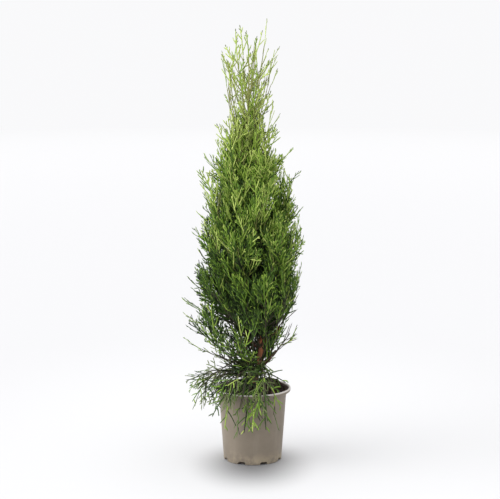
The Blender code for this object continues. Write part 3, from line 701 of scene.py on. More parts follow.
class Growth:
    """The growth rule. A stem bears side twigs that leave it by turns to its left and right, and
    flat sprays that leave stem and twigs by turns, each twisted from the last. What would leave the
    mass's space or touch a limb is tried shorter, then skipped. The finer growth follows, on the stem,
    on slighter limbs beside it, on every twig, on the bare bough and on the trunk, spread all round
    them by the golden angle. A spray is its frame, its length and how much lighter it is."""

    def __init__(self, mass, limbs):
        self.mass = mass
        self.limbs = limbs
        self.draw = mass.random
        self.twigs = []
        self.sprays = []
        self.side_limbs = []
        self.counts = FINER_GROWTH[mass.tier_name][:-1]
        self.rise = FINER_GROWTH[mass.tier_name][-1]
        self.grow()
        self.draw = mass.finer_random
        self.grow_finer()

    def clear(self, points):
        probe = np.array(points)
        return self.mass.keeps(probe) and self.limbs.clear(probe)

    def stem_at(self, share):
        """A place on the stem, and the way that the stem runs there."""
        mass = self.mass
        at = mass.bare + (STEM_END - mass.bare) * share
        place = mass.on_limb(at)
        return place, (mass.on_limb(at + CURVE_STEP) - place).normalized()

    def droop(self, way, share):
        """A skirt twig bends down, the more the further out it stands."""
        return (way - Vector((0, 0, SKIRT_DROOP * share))).normalized() if self.mass.skirt else way

    def add_spray(self, place, way, side, length):
        """A spray that keeps clear of every limb, in the mass's own space."""
        frame_at = frame_along(place - way * SPRAY_SINK, way, side)
        for size in SPRAY_SIZES:
            if self.clear(spray_probes(frame_at, length * size, self.mass.width)):
                end = frame_at @ Vector((length * size, 0, 0))
                far_out = self.mass.tier == LOW and body_depth(end) > OWN_DEPTH
                if not far_out and not hides_trunk(place, end):
                    self.sprays.append((frame_at, length * size, 0.0))
                return

    def add_fine_spray(self, place, way, across, length, slack=FINER_SLACK):
        """A spray that may lean on a limb, and whose side branchlets may reach past the space. Where
        it would end near the surface of the crown's dense body, or past it, fewer are grown."""
        frame_at = frame_along(place - way * SPRAY_SINK, way, across)
        chance = self.draw.uniform(0, 1)
        for size in FINE_SPRAY_SIZES:
            end = frame_at @ Vector((length * size, 0, 0))
            if chance > np.interp(body_depth(end), (THIN_FROM, THIN_TO), (1.0, THIN_SHARE)):
                continue
            width = min(self.mass.width, FINER_WIDTH)
            probe = spray_probes(frame_at, length * size, width)
            if self.mass.keeps(np.array(probe[2:]), slack) and not hides_trunk(place, end):
                self.sprays.append((frame_at, length * size, 0.0))
                return

    def reach_out(self, place, out, reach, sizes, fits):
        """The end of the longest twig that leaves a place and fits there, or None."""
        ends = (place + out * reach * size for size in sizes)
        return next((end for end in ends if fits(place, end)), None)

    def twig_fits(self, place, end):
        return self.clear(probes(place, end))

    def fine_twig_fits(self, place, end):
        """A finer twig may lean on a limb and cross into the next space a little."""
        inside = body_depth(end) < 1 and not hides_trunk(place, end)
        return inside and self.mass.keeps(np.array(probes(place, end)), FINER_SLACK)

    def add_twig(self, share, hand, reach):
        place, way = self.stem_at(share)
        side = level_side(way) * hand
        out = leaning(way, side, math.radians(self.draw.uniform(*TWIG_ANGLES)))
        out = self.droop(turned_about(out, way, self.draw.uniform(-0.6, 0.6)), share)
        twist = self.draw.uniform(-0.9, 0.9)
        hands = self.draw.choice((-1, 1))
        spots = (self.draw.uniform(0.30, 0.45), self.draw.uniform(0.62, 0.78))
        end = self.reach_out(place, out, reach, TWIG_SIZES, self.twig_fits)
        if end is not None:
            self.dress_twig(place, end, out, side, twist, hands, spots)

    def dress_twig(self, place, end, out, side, twist, hands, spots):
        """A spray at the twig's end and one to each hand at the two spots."""
        self.twigs.append((place, end))
        facing = turned_about(out.cross(side).normalized(), out, twist)
        across = out.cross(facing)
        spray = self.mass.spray
        self.add_spray(place.lerp(end, TWIG_END_AT), out, across, spray * TWIG_END_SPRAY)
        for turn, at in ((hands, spots[0]), (-hands, spots[1])):
            way_out = leaning(out, across, math.radians(SPRAY_ANGLE) * turn)
            self.add_spray(place.lerp(end, at), way_out, facing.cross(way_out), spray * TWIG_SIDE_SPRAY)

    def grow(self):
        """The growth that the solids have too."""
        mass, draw = self.mass, self.draw
        first = STEM_FROM if mass.bare > 0 else TRUNK_STEM_FROM
        place, way = self.stem_at(END_SPRAY_AT)
        side = turned_about(level_side(way), way, draw.uniform(-0.8, 0.8))
        ahead = mass.tip - place
        self.add_spray(place, ahead.normalized(), side, max(ahead.length, mass.spray))
        for i in range(mass.twigs):
            share = first + (LAST_TWIG_AT - first) * (i + 0.5) / mass.twigs + draw.uniform(-0.03, 0.03)
            hand = 1 if (i + mass.tier) % 2 else -1
            self.add_twig(share, hand, mass.spray * draw.uniform(0.75, 1.0) * (1.15 - 0.45 * share))
        spin = draw.uniform(0, math.tau)
        for i in range(mass.twigs):
            share = first + (LAST_SPRAY_AT - first) * (i + 0.2) / mass.twigs + draw.uniform(-0.02, 0.02)
            place, way = self.stem_at(share)
            side = spun_side(way, spin + i * GOLDEN_ANGLE)
            out = self.droop(leaning(way, side, math.radians(draw.uniform(*STEM_SPRAY_ANGLES))), share)
            across = turned_about(side.cross(out).cross(out), out, draw.uniform(-0.6, 0.6))
            self.add_spray(place, out, across, mass.spray)

    def grow_finer(self):
        """The growth that the solids leave out."""
        mass = self.mass
        side_limbs, stem_twigs, twig_sprays, bough_sprays, trunk_sprays = self.counts
        for place, end in list(self.twigs):
            self.spread_sprays(place, end, twig_sprays, 0.15, TWIG_SPRAY_ANGLES)
        first = mass.bare if mass.bare > 0 else STEM_FROM
        self.twig_limb((mass.collar, mass.handle, mass.tip), first, STEM_END, stem_twigs, twig_sprays)
        for place in range(side_limbs):
            limb = self.side_limb(place, side_limbs)
            self.side_limbs.append(limb)
            self.twig_limb(limb, SIDE_LIMB_START, SIDE_LIMB_END, stem_twigs, twig_sprays)
        if bough_sprays:
            foot, end = mass.on_limb(0.1), mass.on_limb(mass.bare)
            self.spread_sprays(foot, end, bough_sprays, 0.0, BOUGH_SPRAY_ANGLES)
        self.hug_trunk(trunk_sprays)
        for bearing, tip, reach, lighter in LONE_SHOOTS.get(mass.tier_name, ()):
            bearing = math.radians(bearing)
            if abs((bearing - mass.azimuth + math.pi) % math.tau - math.pi) < mass.half_angle:
                self.lone_shoot(bearing, tip, reach, lighter)

    def lone_shoot(self, bearing, tip, reach, lighter):
        """One long shoot that leaves the trunk below its tip and ends outside the dense body, with a
        spray at its end and shorter ones to each hand of its outer half. One on the skirt arches over
        the pot's rim and hangs down in front of it."""
        skirt, spray = self.mass.skirt, self.mass.spray
        attach = max(tip - LONE_DROP, SOIL_CROWN + LONE_CLEARANCE)
        away = heading(bearing)
        reach -= 0.0 if skirt else spray * LONE_SPRAYS[0][2] * LONE_END
        drop = 0.0 if skirt else spray * LONE_END
        base = trunk_point(attach)
        out, rise = SKIRT_LONE_BEND if skirt else (LONE_BEND[0], LONE_BEND[1] * (tip - attach))
        handle = base + away * reach * out + Vector((0, 0, rise))
        limb = (base, handle, Vector((0, 0, tip - drop)) + away * reach)
        self.side_limbs.append(limb)
        for share, hand, size in LONE_SPRAYS:
            place = bezier(*limb, share * SIDE_LIMB_END)
            way = (bezier(*limb, share) - place).normalized()
            side = turned_about(level_side(way), way, self.draw.uniform(-0.5, 0.5))
            frame_at = frame_along(place, leaning(way, side, math.radians(SPRAY_ANGLE) * hand), side)
            length = spray * size * (LONE_SKIRT_LENGTH if skirt else 1.0)
            while not in_box(frame_at @ Vector((length, 0, 0))):
                length *= LONE_SHORTER
            self.sprays.append((frame_at, length, lighter))

    def side_limb(self, place, count):
        """A slighter limb of the main one's curve, by turns to its left and right, which ends inside the
        dense body a little below the main limb's tip."""
        mass, draw = self.mass, self.draw
        hand = 1 if place % 2 else -1
        swing = mass.azimuth + hand * mass.half_angle * draw.uniform(0.30, 0.80)
        fall = SIDE_LIMB_FALL * (place + draw.uniform(0.2, 1.0)) / count
        tip = mass.tip.z + draw.uniform(*SKIRT_LIMB_RISE) if mass.skirt else mass.tip.z - fall
        attach = mass.heart.z + draw.uniform(-0.010, 0.020)
        reach = crown_reach(tip, swing) * mass.full_reach * draw.uniform(0.75, 0.98)
        away = heading(swing)
        out, rise = SKIRT_LIMB_BEND if mass.skirt else (LIMB_BEND[0], LIMB_BEND[1] * (tip - attach))
        base, end = trunk_point(attach), trunk_point(tip)
        if not mass.skirt:
            reach /= max(1.0, body_depth(end + away * reach) / SIDE_LIMB_DEPTH)
        return base, base + away * reach * out + Vector((0, 0, rise)), end + away * reach

    def turned_up(self, way):
        """A way bent towards the light, or down towards the pot's side on the skirt."""
        return (way + Vector((0, 0, self.rise))).normalized()

    def twig_limb(self, limb, first, last, twigs, sprays):
        """Twigs all round a limb by the golden angle, each with a spray at its end and more along it."""
        mass, draw = self.mass, self.draw
        spin = draw.uniform(0, math.tau)
        for i in range(twigs):
            share = first + (last - first) * (i + draw.uniform(0.2, 0.8)) / twigs
            place = bezier(*limb, share)
            way = (bezier(*limb, share + CURVE_STEP) - place).normalized()
            side = spun_side(way, spin + i * GOLDEN_ANGLE)
            out = self.turned_up(leaning(way, side, math.radians(draw.uniform(*FINE_TWIG_ANGLES))))
            reach = mass.spray * draw.uniform(0.5, 0.9)
            end = self.reach_out(place, out, reach, FINE_TWIG_SIZES, self.fine_twig_fits)
            if end is not None:
                self.twigs.append((place, end))
                across = spun_side(out, draw.uniform(0, math.pi))
                length = mass.spray * draw.uniform(0.85, 1.1)
                self.add_fine_spray(place.lerp(end, TWIG_END_AT), out, across, length)
                self.spread_sprays(place, end, sprays, 0.10, FINE_TWIG_SPRAY_ANGLES)

    def spread_sprays(self, place, end, count, start_at, angles):
        """Sprays along a twig or bough, set round it by the golden angle, each in a plane of its own."""
        mass, draw = self.mass, self.draw
        out = (end - place).normalized()
        start = draw.uniform(0, math.tau)
        for i in range(count):
            side = spun_side(out, start + i * GOLDEN_ANGLE)
            way = self.turned_up(leaning(out, side, math.radians(draw.uniform(*angles))))
            across = spun_side(way, draw.uniform(0, math.pi))
            at = place.lerp(end, draw.uniform(start_at, 0.95))
            self.add_fine_spray(at, way, across, mass.spray * draw.uniform(0.7, 1.05))

    def hug_trunk(self, count):
        """Upright sprays that leave the trunk itself, inside the mass's own space."""
        mass, draw = self.mass, self.draw
        low = max(TIER_FLOORS[mass.tier][0], TRUNK_SPRAYS_FROM)
        high = TIER_FLOORS[mass.tier + 1][0] if mass.tier < TIP else TRUNK_SPRAYS_TO
        angles = SKIRT_TRUNK_SPRAY_ANGLES if mass.skirt else TRUNK_SPRAY_ANGLES
        for i in range(count):
            height = low + (high - low) * (i + draw.uniform(0, 1)) / count
            bearing = mass.azimuth + draw.uniform(-0.9, 0.9) * mass.half_angle
            away = heading(bearing)
            place = trunk_point(height) + away * (trunk_radius(height) + LIMB_MARGIN)
            way = leaning(Vector((0, 0, 1)), away, math.radians(draw.uniform(*angles)))
            across = turned_about(away.cross(way).normalized(), way, draw.uniform(-1.5, 1.5))
            self.add_fine_spray(place, way, across, mass.spray * draw.uniform(0.9, 1.4), TRUNK_SLACK)


def tapered(count, first, last):
    return [first + (last - first) * i / (count - 1) for i in range(count)]


@functools.lru_cache(maxsize=None)
def grown_crown():
    """Every mass with what has grown on it. It is worked out once for all the pieces."""
    masses = [Mass(tier, place) for tier, row in enumerate(TIERS) for place in range(row[1])]
    limbs = Limbs()
    for mass in masses:
        if mass.bare > 0:
            line = mass.bough_line()
            limbs.add(line, tapered(len(line), BOUGH_RADIUS, BOUGH_TIP_RADIUS))
    limbs.freeze()
    return [(mass, Growth(mass, limbs)) for mass in masses]


# Meshes from whole arrays


def mesh_piece(name, points, faces, materials, chosen=None, smooth=True):
    """A mesh object at the origin. Points are an N x 3 array, faces a list of arrays of corners, one
    array for triangles and one for quads, and chosen gives each face's material, in the same order."""
    mesh = bpy.data.meshes.new(name)
    corners = np.concatenate([block.reshape(-1) for block in faces])
    sizes = np.concatenate([np.full(len(block), block.shape[1]) for block in faces])
    starts = np.concatenate([[0], np.cumsum(sizes)[:-1]])
    mesh.vertices.add(len(points))
    mesh.vertices.foreach_set("co", np.asarray(points, np.float32).reshape(-1))
    mesh.loops.add(len(corners))
    mesh.loops.foreach_set("vertex_index", corners.astype(np.int32))
    mesh.polygons.add(len(sizes))
    mesh.polygons.foreach_set("loop_start", starts.astype(np.int32))
    mesh.polygons.foreach_set("loop_total", sizes.astype(np.int32))
    if chosen is not None:
        mesh.polygons.foreach_set("material_index", np.asarray(chosen, np.int32))
    mesh.polygons.foreach_set("use_smooth", np.full(len(sizes), smooth))
    mesh.update(calc_edges=True)
    for made in materials:
        mesh.materials.append(made)
    obj = bpy.data.objects.new(name, mesh)
    bpy.context.scene.collection.objects.link(obj)
    return obj


def joined(blocks):
    """Several (points, [face arrays], [material of each face, array by array]) as one."""
    points, shift, sorted_faces, sorted_picks = [], 0, {}, {}
    for block_points, block_faces, block_picks in blocks:
        points.append(block_points)
        for face, pick in zip(block_faces, block_picks):
            sorted_faces.setdefault(face.shape[1], []).append(face + shift)
            sorted_picks.setdefault(face.shape[1], []).append(pick)
        shift += len(block_points)
    sizes = sorted(sorted_faces)
    faces = [np.concatenate(sorted_faces[size]) for size in sizes]
    picks = np.concatenate([np.concatenate(sorted_picks[size]) for size in sizes])
    return np.concatenate(points), faces, picks


def closed_rows(rows, around):
    """Faces of a shape with a pole, rows x around points and a pole, listed in that order."""
    row, turn = np.meshgrid(np.arange(rows - 1), np.arange(around), indexing="ij")
    after = (turn + 1) % around
    at = 1 + row * around
    quads = np.stack([at + turn, at + after, at + around + after, at + around + turn], -1)
    turn = np.arange(around)
    after = (turn + 1) % around
    top = 1 + (rows - 1) * around
    start = np.stack([np.zeros_like(turn), 1 + after, 1 + turn], -1)
    end = np.stack([top + turn, top + after, np.full_like(turn, top + around)], -1)
    return np.concatenate([start, end]), quads.reshape(-1, 4)


def repeat_faces(faces, size, count):
    """The faces of one shape of so many points, repeated for a count of shapes in a row."""
    shift = (np.arange(count) * size)[:, None, None]
    return (faces[None] + shift).reshape(-1, faces.shape[1])


def tube(line, radii, around, relief=None):
    """A closed tube. Ring i is the circle of radius r_i square to the line at its point i, turned
    no more than the line turns, times 1 + relief(along, around) where relief is given. The first
    and last points of the line are its poles."""
    line, radii = np.array(line), np.array(radii)
    ways = np.gradient(line, axis=0)
    ways /= np.linalg.norm(ways, axis=1)[:, None]
    sides = [np.array(Vector(ways[0]).orthogonal().normalized())]
    for way in ways[1:]:
        side = sides[-1] - way * (sides[-1] @ way)
        sides.append(side / np.linalg.norm(side))
    sides = np.array(sides)
    others = np.cross(ways, sides)
    turn = np.arange(around) / around * math.tau
    size = radii[:, None] * np.ones(around)
    if relief is not None:
        along = np.concatenate([[0.0], np.cumsum(np.linalg.norm(np.diff(line, axis=0), axis=1))])
        size = size * (1 + relief(along[:, None], turn[None, :]))
    ring = sides[:, None] * np.cos(turn)[None, :, None] + others[:, None] * np.sin(turn)[None, :, None]
    points = line[:, None] + ring * size[..., None]
    points = np.concatenate([line[:1], points[1:-1].reshape(-1, 3), line[-1:]])
    triangles, quads = closed_rows(len(line) - 2, around)
    return points, [triangles, quads]


def picked(block, number):
    """A (points, faces) block with one material for all of its faces."""
    points, faces = block
    return points, faces, [np.full(len(face), number) for face in faces]


# Materials


def new_material(name, roughness, colour):
    made = bpy.data.materials.new(name)
    made.use_nodes = True
    shader = made.node_tree.nodes["Principled BSDF"]
    shader.inputs["Roughness"].default_value = roughness
    shader.inputs["Base Color"].default_value = (*colour, 1.0)
    return made, made.node_tree, shader


def add_node(tree, kind, inputs=None, **settings):
    """A node with its settings, and its inputs set to a value or linked from another's output."""
    node = tree.nodes.new("ShaderNode" + kind)
    for key, value in settings.items():
        setattr(node, key, value)
    for key, value in (inputs or {}).items():
        if isinstance(value, bpy.types.NodeSocket):
            tree.links.new(value, node.inputs[key])
        else:
            node.inputs[key].default_value = value
    return node


def noise(tree, scale, detail=3.0, stretch=(1.0, 1.0, 1.0), roughness=0.55):
    """Noise on Object coordinates, with each axis stretched before it is read."""
    place = add_node(tree, "TexCoord").outputs["Object"]
    place = add_node(tree, "Mapping", {"Vector": place, "Scale": stretch}).outputs["Vector"]
    inputs = {"Vector": place, "Scale": scale, "Detail": detail, "Roughness": roughness}
    return add_node(tree, "TexNoise", inputs).outputs["Fac"]


def ramp(tree, value, low, high):
    """A value read from 0 at low to 1 at high."""
    inputs = {"Value": value, "From Min": low, "From Max": high}
    return add_node(tree, "MapRange", inputs, interpolation_type="SMOOTHSTEP").outputs["Result"]


def mixed(tree, share, first, second):
    """A colour from first to second by a share. Each may be a colour or another node's output."""
    first, second = [c if isinstance(c, bpy.types.NodeSocket) else (*c, 1.0) for c in (first, second)]
    node = tree.nodes.new("ShaderNodeMix")
    node.data_type = "RGBA"
    for slot, value in ((0, share), (6, first), (7, second)):
        if isinstance(value, bpy.types.NodeSocket):
            tree.links.new(value, node.inputs[slot])
        else:
            node.inputs[slot].default_value = value
    return node.outputs[2]


def patches(tree, scale, detail, low, high, stretch=(1.0, 1.0, 1.0)):
    """Noise read from 0 at low to 1 at high."""
    return ramp(tree, noise(tree, scale, detail, stretch), low, high)


def times(tree, first, second):
    return add_node(tree, "Math", {0: first, 1: second}, operation="MULTIPLY").outputs[0]


def object_height(tree):
    return add_node(tree, "SeparateXYZ", {0: add_node(tree, "TexCoord").outputs["Object"]}).outputs[2]


def add_bump(tree, shader, height, strength, distance):
    inputs = {"Height": height, "Strength": strength, "Distance": distance}
    bump = add_node(tree, "Bump", inputs)
    tree.links.new(bump.outputs["Normal"], shader.inputs["Normal"])


def toned(colour, share):
    """A colour made darker by a share below 1, or lighter by one above."""
    return tuple(part * share for part in colour)


def plastic_material(name, settings, colour):
    """Recycled plastic: faint clouds, drag marks and dark specks, patches of limescale by the foot, a
    pale lip that is a painted highlight, and a sheen that changes from place to place."""
    made, tree, shader = new_material(name, 0.50, colour)
    base = mixed(tree, patches(tree, 16.0, 4.0, 0.35, 0.70), toned(colour, 0.93), toned(colour, 1.08))
    drag = patches(tree, 30.0, 5.0, 0.50, 0.72, (1.0, 1.0, 0.12))
    base = mixed(tree, times(tree, drag, 0.22), base, tuple(settings.worn))
    height = object_height(tree)
    limed = times(tree, ramp(tree, height, 0.034, 0.004), patches(tree, 42.0, 5.0, 0.40, 0.62))
    base = mixed(tree, times(tree, limed, 0.55), base, tuple(settings.limed))
    # Painted highlight: the top of the rolled lip is made pale.
    lip = ramp(tree, height, POT_HEIGHT - 0.0040, POT_HEIGHT - 0.0018)
    base = mixed(tree, lip, base, tuple(settings.lip))
    speck = patches(tree, 260.0, 2.0, 0.66, 0.76)
    base = mixed(tree, times(tree, speck, 0.35), base, toned(colour, 0.55))
    tree.links.new(base, shader.inputs["Base Color"])
    inputs = {"Value": patches(tree, 55.0, 4.0, 0.2, 0.8), "To Min": 0.42, "To Max": 0.60}
    rough = add_node(tree, "MapRange", inputs).outputs["Result"]
    tree.links.new(rough, shader.inputs["Roughness"])
    shader.inputs["Specular IOR Level"].default_value = 0.22
    add_bump(tree, shader, noise(tree, 900.0, 2.0), 0.25, 0.0002)
    return made


def soil_material(settings):
    """Damp peat: nearly black, with reddish fibres and a rough fine grain."""
    made, tree, shader = new_material("potting_soil", 0.95, settings.colour)
    fibre = patches(tree, 240.0, 5.0, 0.50, 0.68)
    base = mixed(tree, fibre, tuple(settings.colour), tuple(settings.dry_colour))
    tree.links.new(base, shader.inputs["Base Color"])
    shader.inputs["Specular IOR Level"].default_value = 0.25
    add_bump(tree, shader, noise(tree, 600.0, 4.0), 0.8, 0.0008)
    return made


def bark_material(name, settings, shade=1.0):
    """Fibrous bark: long grey and red strips with pale flecks low down, darkened by a share as painted
    shade, turning to smooth green on the young leader."""
    made, tree, shader = new_material(name, 0.85, settings.red)
    strip = patches(tree, 420.0, 5.0, 0.42, 0.60, (1.0, 1.0, 0.06))
    old = mixed(tree, strip, toned(settings.grey, shade), toned(settings.red, shade))
    fleck = patches(tree, 700.0, 3.0, 0.60, 0.72, (1.0, 1.0, 0.15))
    old = mixed(tree, times(tree, fleck, 0.5), old, toned(settings.fleck, shade))
    age = ramp(tree, object_height(tree), 0.36, 0.50)
    young = mixed(tree, strip, toned(settings.young, 0.75), toned(settings.young, 1.1))
    tree.links.new(mixed(tree, age, old, young), shader.inputs["Base Color"])
    add_bump(tree, shader, noise(tree, 500.0, 5.0, (1.0, 1.0, 0.08)), 0.6, 0.0006)
    return made


def grained_material(name, colour, roughness, scale, detail, tones):
    """A plain colour with a fine grain, from the first tone of it to the second."""
    made, tree, shader = new_material(name, roughness, colour)
    grain = patches(tree, scale, detail, 0.3, 0.7)
    base = mixed(tree, grain, *(toned(colour, tone) for tone in tones))
    tree.links.new(base, shader.inputs["Base Color"])
    return made


def twig_material(name, colour):
    """Thin smooth twigs."""
    return grained_material(name, colour, 0.70, 500.0, 3.0, (0.8, 1.2))


def leaf_material(name, colour):
    """Scale leaves: one green, with a small change from scale to scale and a soft sheen."""
    made = grained_material(name, colour, 0.55, 320.0, 2.0, (0.82, 1.18))
    made.node_tree.nodes["Principled BSDF"].inputs["Specular IOR Level"].default_value = 0.26
    return made


# The pot


def pot_wall(settings):
    """The section of the wall as (radius, height) from the centre of the underside, out and up the
    outer side, over the rolled lip and down the inner side to the centre of the floor, and how many of
    its points are outside and on the lip."""
    rim, top = POT_RIM_RADIUS, POT_HEIGHT
    foot, shoulder, high = settings.foot, settings.shoulder, settings.shoulder_height
    wall = settings.wall
    under = [(r, 0.0) for r in np.linspace(0.004, foot - 0.0016, 14)]
    heel = [(foot - 0.0006, 0.0003), (foot + 0.0001, 0.0012)]
    side = [(foot + (shoulder - foot) * s, high * s) for s in np.linspace(0.016, 0.985, 34)]
    neck = [
        (shoulder + 0.0001, high),
        (shoulder + 0.0006, high + 0.0030),
        (shoulder + 0.0016, high + 0.0056),
        (rim - 0.0066, top - 0.0110),
        (rim - 0.0054, top - 0.0096),
        (rim - 0.0040, top - 0.0090),
        (rim - 0.0018, top - 0.0084),
        (rim - 0.0006, top - 0.0076),
        (rim - 0.0001, top - 0.0060),
        (rim, top - 0.0036),
    ]
    lip = [(rim - 0.0018 + 0.0018 * math.cos(a), top - 0.0018 + 0.0018 * math.sin(a))
           for a in np.radians(np.linspace(0, 140, 8))]
    inner_neck = [
        (rim - 0.0038, top - 0.0018),
        (rim - 0.0050, top - 0.0046),
        (rim - 0.0068, top - 0.0090),
        (rim - 0.0086, top - 0.0124),
        (shoulder - wall + 0.0002, high + 0.0020),
    ]
    inner = [(foot - wall + (shoulder - foot) * s, high * s) for s in np.linspace(0.985, 0.04, 24)]
    floor = [(r, 0.0048) for r in np.linspace(foot - wall - 0.001, 0.004, 8)]
    outer = under + heel + side + neck
    return np.array(outer + lip + inner_neck + inner + floor), len(outer), len(lip)


def notch_window(turn, settings):
    """1 over the flat middle of a drain notch, falling evenly to 0 at its two sides."""
    flat, slope = 0.72, 0.28
    step = math.tau / settings.notches
    apart = np.abs(turn % step - step / 2)
    half = settings.notch_width / 2 / settings.foot
    return 1 - np.clip((apart - half * flat) / (half * slope), 0, 1)


def make_pot(settings):
    """The section turned about Z. In the drain notches the foot is lifted by the notch's height over
    the outer 9 mm, and the wall just above is squeezed up to meet it. The wall sways out of round
    towards the rim, and its inner side is darker: partly a stain from the wet soil, partly painted
    shade for the inside of the pot."""
    around, most_sway = 288, 0.00045
    section, outer, lip = pot_wall(settings)
    turn = np.arange(around) / around * math.tau
    window = notch_window(turn, settings)
    radius, height = section[:, 0][:, None], section[:, 1][:, None]
    outside = np.arange(len(section))[:, None] < outer
    reach = np.clip((radius - settings.foot + 0.0095) / 0.0025, 0, 1)
    low = np.clip(1 - height / (settings.notch_height * 2.2), 0, 1)
    lift = settings.notch_height * low * reach * window[None] * outside
    sway = most_sway * np.sin(2 * turn + 0.6)[None] * (height / POT_HEIGHT) ** 2
    r = radius + sway
    points = np.stack([r * np.cos(turn), r * np.sin(turn), height + lift], -1)
    first = np.array([[0.0, 0.0, section[0, 1]]])
    last = np.array([[0.0, 0.0, section[-1, 1]]])
    points = np.concatenate([first, points.reshape(-1, 3), last])
    triangles, quads = closed_rows(len(section), around)
    inside = np.concatenate([np.arange(len(triangles)) >= around,
                             np.arange(len(quads)) // around >= outer + lip - 1])
    # The second material, for the inner side, is darker as a soil stain and as painted shade.
    materials = [plastic_material("taupe_plastic", settings, settings.colour),
                 plastic_material("stained_plastic", settings, settings.stained)]
    return mesh_piece("pot_shell", points, [triangles, quads], materials, inside)


# The soil


def soil_height(x, y, settings):
    """The soil's surface: a dome that falls by 20 mm over the 50 mm from near the trunk to the wall, a
    round heap behind on the right, and lumps of three sizes made of products of sines turned against
    each other, which die away round the trunk's foot."""
    distance = np.hypot(x, y)
    dome = SOIL_CROWN - 0.020 * np.clip((distance - 0.022) / 0.05, 0, 1.1) ** 1.6
    heap = settings.heap * np.exp(-(((x - 0.050) / 0.026) ** 2 + ((y - 0.040) / 0.030) ** 2))
    lumps = 0
    for size, depth, angle in SOIL_LUMPS:
        u = (x * math.cos(angle) - y * math.sin(angle)) / size * math.tau
        v = (x * math.sin(angle) + y * math.cos(angle)) / size * math.tau
        lumps = lumps + depth * np.sin(u + 1.3 * np.sin(v * 0.6)) * np.sin(v + 1.1 * np.sin(u * 0.7))
    near_trunk = np.clip((distance - 0.010) / 0.012, 0, 1)
    return dome + heap + lumps * near_trunk - 0.0012 * (1 - near_trunk)


def make_soil(settings):
    """A plug: its top is soil_height over a disc that meets the pot's inner wall, its side follows
    the wall down and its underside is flat."""
    around, rings = 150, 60
    turn = np.arange(around) / around * math.tau
    share = np.linspace(0.01, 1, rings)[:, None]
    x, y = SOIL_RADIUS * share * np.cos(turn), SOIL_RADIUS * share * np.sin(turn)
    top = np.stack([x, y, soil_height(x, y, settings)], -1)
    side = []
    for radius, height in SOIL_SIDE:
        side.append(np.stack([radius * np.cos(turn), radius * np.sin(turn), np.full(around, height)], -1))
    grid = np.concatenate([top, np.array(side)])[::-1]
    middle = np.array([[0.0, 0.0, float(soil_height(np.array(0.0), np.array(0.0), settings))]])
    points = np.concatenate([[[0.0, 0.0, SOIL_BOTTOM]], grid.reshape(-1, 3), middle])
    triangles, quads = closed_rows(len(grid), around)
    made = soil_material(settings)
    bed = mesh_piece("soil_bed", points, [triangles, quads], [made])
    return bed, make_crumbs(settings, made)


def make_crumbs(settings, made):
    """Loose lumps: each is a small lumpy ball of 3 rings of 6 points, squashed and turned, a third sunk
    where it lies. More of them lie on the heap, and none lies past the wall."""
    draw = np.random.default_rng(SEED)
    count = settings.crumbs
    turn = draw.uniform(0, math.tau, count)
    distance = SOIL_RADIUS * np.sqrt(draw.uniform(0.03, 1, count))
    x, y = distance * np.cos(turn), distance * np.sin(turn)
    heaped = draw.uniform(0, 1, count) < 0.35
    x = np.where(heaped, CRUMB_HEAP[0] + draw.normal(0, 0.016, count), x)
    y = np.where(heaped, CRUMB_HEAP[1] + draw.normal(0, 0.020, count), y)
    inside = np.hypot(x, y)
    shrink = np.where(inside > CRUMB_REACH, CRUMB_REACH / inside, 1.0)
    x, y = x * shrink, y * shrink
    size = settings.crumb * draw.lognormal(0, 0.45, count)
    size = np.minimum(size, CRUMB_GREATEST)
    size = np.minimum(size, np.maximum(CRUMB_WALL - np.hypot(x, y), CRUMB_LEAST))
    centre = np.stack([x, y, soil_height(x, y, settings) + size * 0.35], -1)
    rows, around = 3, 6
    tilt = np.linspace(math.pi, 0, rows + 2)
    angle = np.arange(around) / around * math.tau
    ball = np.array([[math.sin(t) * np.cos(angle), math.sin(t) * np.sin(angle), math.cos(t) + 0 * angle]
                     for t in tilt[1:-1]]).transpose(0, 2, 1).reshape(-1, 3)
    ball = np.concatenate([[[0, 0, -1.0]], ball, [[0, 0, 1.0]]])
    lumps = ball[None] * draw.uniform(0.72, 1.2, (count, len(ball), 1))
    lumps = lumps * draw.uniform(0.65, 1.25, (count, 1, 3)) * size[:, None, None]
    spin = draw.uniform(0, math.tau, count)
    c, s = np.cos(spin)[:, None], np.sin(spin)[:, None]
    lumps = np.stack([lumps[..., 0] * c - lumps[..., 1] * s, lumps[..., 0] * s + lumps[..., 1] * c,
                      lumps[..., 2]], -1)
    points = (lumps + centre[:, None]).reshape(-1, 3)
    triangles, quads = closed_rows(rows, around)
    faces = [repeat_faces(triangles, len(ball), count), repeat_faces(quads, len(ball), count)]
    return mesh_piece("soil_crumbs", points, faces, [made], smooth=False)


# Bark


def bark_relief(depth):
    """Fibrous ridges: the size of a sine of seven turns round the limb, its phase bent along the
    limb by slower sines so that ridges split, lean and end, with a finer set on top."""

    def relief(along, turn):
        phase = 3.5 * turn + 1.5 * np.sin(34 * along + 2 * np.sin(turn)) + 0.9 * np.sin(83 * along + turn)
        broad = np.abs(np.sin(phase)) ** 0.7 - 0.6
        fine = np.sin(13 * turn + 2.2 * np.sin(120 * along + 3 * np.sin(turn)) + 61 * along)
        return depth * (broad + 0.35 * fine)

    return relief


